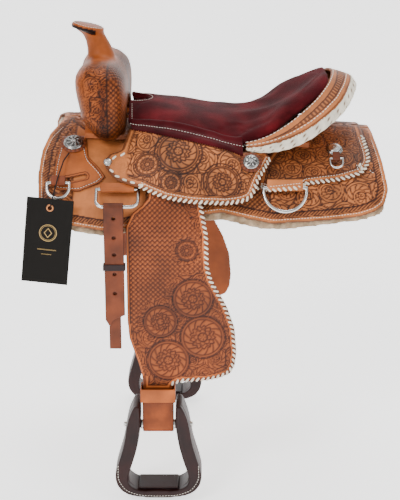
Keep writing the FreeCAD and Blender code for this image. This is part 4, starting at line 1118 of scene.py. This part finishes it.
def seatTrim(side, word):
    low, high = resampled(trim["low"], trim["toothRun"]), resampled(trim["high"], trim["toothRun"])
    count = min(len(low), len(high))
    share = np.linspace(0, 1, 2 * (count // 2))
    lowRun = np.array([low[int(round(k * (len(low) - 1)))] for k in share])
    highRun = np.array([high[int(round(k * (len(high) - 1)))] for k in share])
    tips, _ = onSurface(jockeySurface, eased(lowRun, 4), side, 0.4)
    tops = []
    for x, y, z in eased(highRun, 6):
        hit, normal, _, _ = seatSurface.find_nearest(Vector((x, y * -side, z)) * mm)
        tops.append(hit + normal * 0.2 * mm)
    tops = eased([tuple(p) for p in tops], 4)
    rows, reach = trim["rows"], trim["reach"]
    away = Vector((0, side * trim["away"][0], trim["away"][1]))
    push = np.array(away)
    sheet = np.zeros((len(tips), rows, 3))
    for k in range(len(tips)):
        tip, top = np.array(tips[k]), np.array(tops[k])
        for r in range(rows):
            w = r / (rows - 1)
            spot = Vector(tip * (1 - w) + top * w)
            hit = coveredSurface.ray_cast(spot + away * reach, -away, 0.05)[0]
            sheet[k, r] = hit + away * trim["rest"] if hit is not None else spot
    firm = sheet.copy()
    for _ in range(5):
        sheet[1:-1] = (sheet[:-2] + 2 * sheet[1:-1] + sheet[2:]) / 4
        sheet[:, 1:-1] = (sheet[:, :-2] + 2 * sheet[:, 1:-1] + sheet[:, 2:]) / 4
    lift = ((firm - sheet) @ push).max(axis=0).clip(0, trim["mostLift"])
    sheet += lift[None, :, None] * push
    for k in range(len(tips)):
        for r in range(rows):
            spot = Vector(sheet[k, r])
            hit = coveredSurface.ray_cast(spot + away * reach, -away, 0.05)[0]
            if hit is not None:
                sheet[k, r] += push * max(0.0, (hit - spot).dot(away) + trim["clear"])
    sheet[1:-1] = (sheet[:-2] + 2 * sheet[1:-1] + sheet[2:]) / 4
    sheet[:, -1] -= push * trim["tuck"]
    for k in range(len(tips)):
        slant = sheet[k, -1] - sheet[k, 0]
        slant = slant / np.linalg.norm(slant)
        sheet[k, 0] -= slant * trim["teethDeep"] * mm * (1 if k % 2 else -0.4)
    spots = [tuple(p) for p in sheet.reshape(-1, 3)]
    mesh = bpy.data.meshes.new("seatTrim" + word)
    faces = [(k * rows + r, (k + 1) * rows + r, (k + 1) * rows + r + 1, k * rows + r + 1)
             for k in range(len(tips) - 1) for r in range(rows - 1)]
    mesh.from_pydata(spots, [], faces)
    mesh.update()
    obj = linked("seatTrim" + word, mesh)
    wall = obj.modifiers.new("wall", "SOLIDIFY")
    wall.thickness = trim["thick"] * mm
    wall.offset = 1.0 if side > 0 else -1.0
    baked(obj)
    work = bmesh.new()
    work.from_mesh(obj.data)
    bmesh.ops.recalc_face_normals(work, faces=work.faces)
    work.to_mesh(obj.data)
    work.free()
    smoothShaded(obj)
    attribute(obj, "carve", np.full(len(obj.data.vertices), 0.45))
    dress(obj, "suede", "saddle")
    seam = [sheet[k, trim["seamRow"]] + push * (trim["thick"] + 0.2) * mm for k in range(len(tips))]
    return eased(seam, 6), [tuple(away)] * len(tips)


trimSeams = [seatTrim(side, word) for side, word in ((-1, "Near"), (1, "Off"))]
trimLines, trimUps = zip(*trimSeams)
trail("seatStitch", list(trimLines), list(trimUps), "stitch", 5.4, 0, "thread", "saddle")

frontSeam = [(-126, 44), (-126.5, 50), (-127, 56), (-127.5, 62), (-128, 67)]
lines, ups = bothSidesOf(seatSurface, frontSeam, 0.4)
trail("seatFrontStitch", lines, ups, "stitch", 5.4, 0, "thread", "saddle")
handHoleSeam = {"middleX": -134.0, "radius": 43.0, "from": 130, "halfTurn": 82, "count": 33}
spots, ups = [], []
for k in range(handHoleSeam["count"]):
    turn = math.radians(handHoleSeam["halfTurn"] * (2 * k / (handHoleSeam["count"] - 1) - 1))
    start = Vector((handHoleSeam["middleX"] + handHoleSeam["radius"] * math.cos(turn),
                    handHoleSeam["radius"] * math.sin(turn), handHoleSeam["from"])) * mm
    hit, normal, _, _ = seatSurface.ray_cast(start, Vector((0, 0, -1)))
    if hit is not None and normal.z > 0.4:
        spots.append(tuple(hit + normal * 0.0004))
        ups.append(tuple(normal))
trail("handHoleStitch", [spots], [ups], "stitch", 5.0, 0, "thread", "saddle")

rollSurface = surfaceOf(roll)
rollRails = {"inner": [(84, -150, 16), (130, -146, 30), (165, -138, 52), (196, -121, 75), (220, -100, 95),
                       (238, -68, 112), (246, -34, 121), (249, 0, 124)],
             "outer": [(84, -164, 10), (130, -170, 18), (165, -166, 29), (198, -156, 44), (228, -138, 62),
                       (256, -108, 81), (276, -62, 100), (287, 0, 113)],
             "rows": (("Inner", 0.16), ("Outer", 0.84))}
inner, outer = (np.array(rollRails[word], float) for word in ("inner", "outer"))
for word, share in rollRails["rows"]:
    run = inner * (1 - share) + outer * share
    whole = np.concatenate([run, (run * [1, -1, 1])[-2::-1]])
    spots, ups = [], []
    for p in eased(resampled(whole, 4.0), 5):
        hit, normal, _, _ = rollSurface.find_nearest(Vector(p + [0, 0, 4]) * mm)
        spots.append(tuple(hit + normal * 0.15 * mm))
        ups.append(tuple(normal))
    trail("rollStitch" + word, [eased(spots, 3)], [eased(ups, 3)], "longStitch", 7.5, 0, "thread", "saddle")

# stitching round the horn cap
capStitching = {"radius": 0.0275, "above": 0.0052, "count": 72}
capSeam, capUps = [], []
capSide, across = Vector(np.cross(capAxis, [0, 1, 0])), Vector((0, 1, 0))
for k in range(capStitching["count"] + 1):
    turn = 2 * math.pi * k / capStitching["count"]
    out = capSide * capStitching["radius"] * math.cos(turn) + across * capStitching["radius"] * math.sin(turn)
    capSeam.append(tuple(Vector(capMiddle) + out + Vector(capAxis) * capStitching["above"]))
    capUps.append(tuple(capAxis))
trail("hornCapStitch", [capSeam], [capUps], "stitch", 5.0, 0, "thread", "saddle")

stirrupSeam = {"middleX": -79, "run": [(-76, -590), (-77, -618), (-63, -641), (-36, -651), (0, -652.5),
                                       (36, -651), (63, -641), (77, -618), (76, -590)]}
for side, word, body in ((-1, "Near", "near_stirrup"), (1, "Off", "off_stirrup")):
    surface = surfaceOf(made["stirrup" + word])
    low = [(stirrupSeam["middleX"] + x, z) for x, z in stirrupSeam["run"]]
    spots, ups = onSurface(surface, eased(resampled(low, 3.0), 8), side, 0.1)
    trail("stirrupStitch" + word, [spots], [ups], "stitch", 5.4, 0, "thread", body)
print("seat, roll and stirrup stitching ready")


# tag on its cord
tagShape = {"top": (-267.5, -222.0, -72.0), "lean": math.radians(-6.3), "foilDepth": 0.15, "foilThick": 0.25}


# u across and w down the card, depth towards the near side, all mm.
def tagSpot(u, w, depth):
    x, y, z = tagShape["top"]
    c, s = math.cos(-tagShape["lean"]), math.sin(-tagShape["lean"])
    return ((x + u * c - w * s) * mm, (y - depth) * mm, (z - w * c - u * s) * mm)


card = frame["nodes"]["hang_tag"]
card.data.materials.clear()
card.data.materials.append(finish["card"])


# Thin raised foil strips between pairs of outlines in the card's own measure.
def flatBars(name, outlines, depth, thick, look):
    mesh = bpy.data.meshes.new(name)
    work = bmesh.new()
    for outerLoop, innerLoop in outlines:
        count = len(outerLoop)
        rows = []
        for run, lift in ((outerLoop, 0.0), (outerLoop, thick), (innerLoop, thick), (innerLoop, 0.0)):
            rows.append([work.verts.new(tagSpot(u, w, depth + lift)) for u, w in run])
        for r in range(4):
            one, two = rows[r], rows[(r + 1) % 4]
            for k in range(count):
                n = (k + 1) % count
                work.faces.new((one[k], one[n], two[n], two[k]))
    bmesh.ops.recalc_face_normals(work, faces=work.faces)
    work.to_mesh(mesh)
    work.free()
    obj = linked(name, mesh)
    obj.data.materials.append(finish[look])
    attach(obj, "near_tag")
    return obj


def rectangle(half, top, bottom):
    return [(-half, top), (half, top), (half, bottom), (-half, bottom)]


def diamond(centre, half, tall):
    return [(0, centre - tall), (half, centre), (0, centre + tall), (-half, centre)]


def hoop(centre, radius, count=48):
    return [(radius * math.cos(a), centre + radius * math.sin(a)) for a in
            [2 * math.pi * k / count for k in range(count)]]


foil = [(hoop(64, 16.0), hoop(64, 14.8)), (hoop(64, 13.4), hoop(64, 12.9)),
        (diamond(64, 7.5, 9.5), diamond(64, 5.9, 7.6)),
        (rectangle(17, 95, 96.6), rectangle(16.8, 95.4, 96.2)),
        (rectangle(9, 104, 105.0), rectangle(8.8, 104.3, 104.7))]
flatBars("tagFoil", foil, tagShape["foilDepth"], tagShape["foilThick"], "gold")
eyelet = softCopy("tag_eyelet", "tagEyelet", 0.35, 2)
attribute(eyelet, "carve", np.full(len(eyelet.data.vertices), 0.1))
attribute(eyelet, "edge", np.zeros(len(eyelet.data.vertices)))
dress(eyelet, "copper", "near_tag", "tag_eyelet")

cordSpec = {"diameter": 0.0024, "length": 0.1224,
            "route": [(-240, -143, -6.5), (-248, -167, -15), (-256, -197, -39), (-263, -216, -66),
                      (-268.2, -224.4, -87)]}
cordCurve = bpy.data.curves.new("tagCord", "CURVE")
cordCurve.dimensions = "3D"
spline = cordCurve.splines.new("NURBS")
course = resampled([np.array(p) for p in cordSpec["route"]], 9.0)
spline.points.add(len(course) - 1)
for point, spot in zip(spline.points, course):
    point.co = (*(spot * mm), 1.0)
spline.order_u = 3
spline.use_endpoint_u = True
cordCurve.bevel_depth = cordSpec["diameter"] / 2
cordCurve.bevel_resolution = 4
cordCurve.use_fill_caps = True
cordObject = linked("tagCord", cordCurve)
dress(cordObject, "cord", "near_tag", "tag_cord")
print("tag and cord ready")

for piece in pieceKinds.values():
    bpy.data.objects.remove(piece)

# floor, light and camera
stageSpec = {"floor": -0.668, "size": 14.0, "back": 3.2, "rise": 5.0, "bend": 1.4,
             "paper": (0.93, 0.93, 0.925, 1), "glow": 1.4, "air": 0.75}
floorMesh = bpy.data.meshes.new("studioFloor")
half, back, bend = stageSpec["size"] / 2, stageSpec["back"], stageSpec["bend"]
profile = [(-half, 0.0)] + [(back + bend * math.sin(a), bend - bend * math.cos(a)) for a in
                            [math.pi / 2 * k / 16 for k in range(17)]] + [(back + bend, stageSpec["rise"])]
rows = [(-half, *p) for p in profile] + [(half, *p) for p in profile]
count = len(profile)
floorMesh.from_pydata([(x, y, z + stageSpec["floor"]) for x, y, z in rows], [],
                      [(k, k + count, k + count + 1, k + 1) for k in range(count - 1)])
studioFloor = linked("studioFloor", floorMesh)
smoothShaded(studioFloor)
paper = bpy.data.materials.new("palePaper")
paper.use_nodes = True
for socket, value in (("Base Color", stageSpec["paper"]), ("Roughness", 0.95),
                      ("Emission Color", (1, 1, 1, 1)), ("Emission Strength", stageSpec["glow"])):
    paper.node_tree.nodes["Principled BSDF"].inputs[socket].default_value = value
floorMesh.materials.append(paper)

world = bpy.data.worlds.new("studioAir")
bpy.context.scene.world = world
world.use_nodes = True
world.node_tree.nodes["Background"].inputs["Color"].default_value = (1, 1, 1, 1)
world.node_tree.nodes["Background"].inputs["Strength"].default_value = stageSpec["air"]


def softLight(name, spot, aim, size, power):
    light = bpy.data.lights.new(name, "AREA")
    light.shape = "DISK"
    light.size = size
    light.energy = power
    obj = linked(name, light)
    obj.location = spot
    obj.rotation_euler = (Vector(aim) - Vector(spot)).to_track_quat("-Z", "Y").to_euler()


# name: place, aim, size in m, power in W
softLights = {"keyLight": ((-1.6, -2.4, 2.0), (0, 0, -0.2), 1.2, 62),
              "fillLight": ((2.2, -2.0, 0.9), (0, 0, -0.25), 1.6, 26),
              "topLight": ((0.3, 0.6, 2.6), (0, 0, 0), 1.4, 34)}
for name, (spot, aim, size, power) in softLights.items():
    softLight(name, spot, aim, size, power)

cameraSpec = {"lens": 90, "sensor": 36, "place": (0, -2.3776, 0.5325), "tilt": 72}
camera = bpy.data.cameras.new("camera")
camera.lens = cameraSpec["lens"]
camera.sensor_width = cameraSpec["sensor"]
cameraObject = linked("camera", camera)
cameraObject.location = cameraSpec["place"]
cameraObject.rotation_euler = (math.radians(cameraSpec["tilt"]), 0, 0)
bpy.context.scene.camera = cameraObject
print("floor, lights and camera ready")
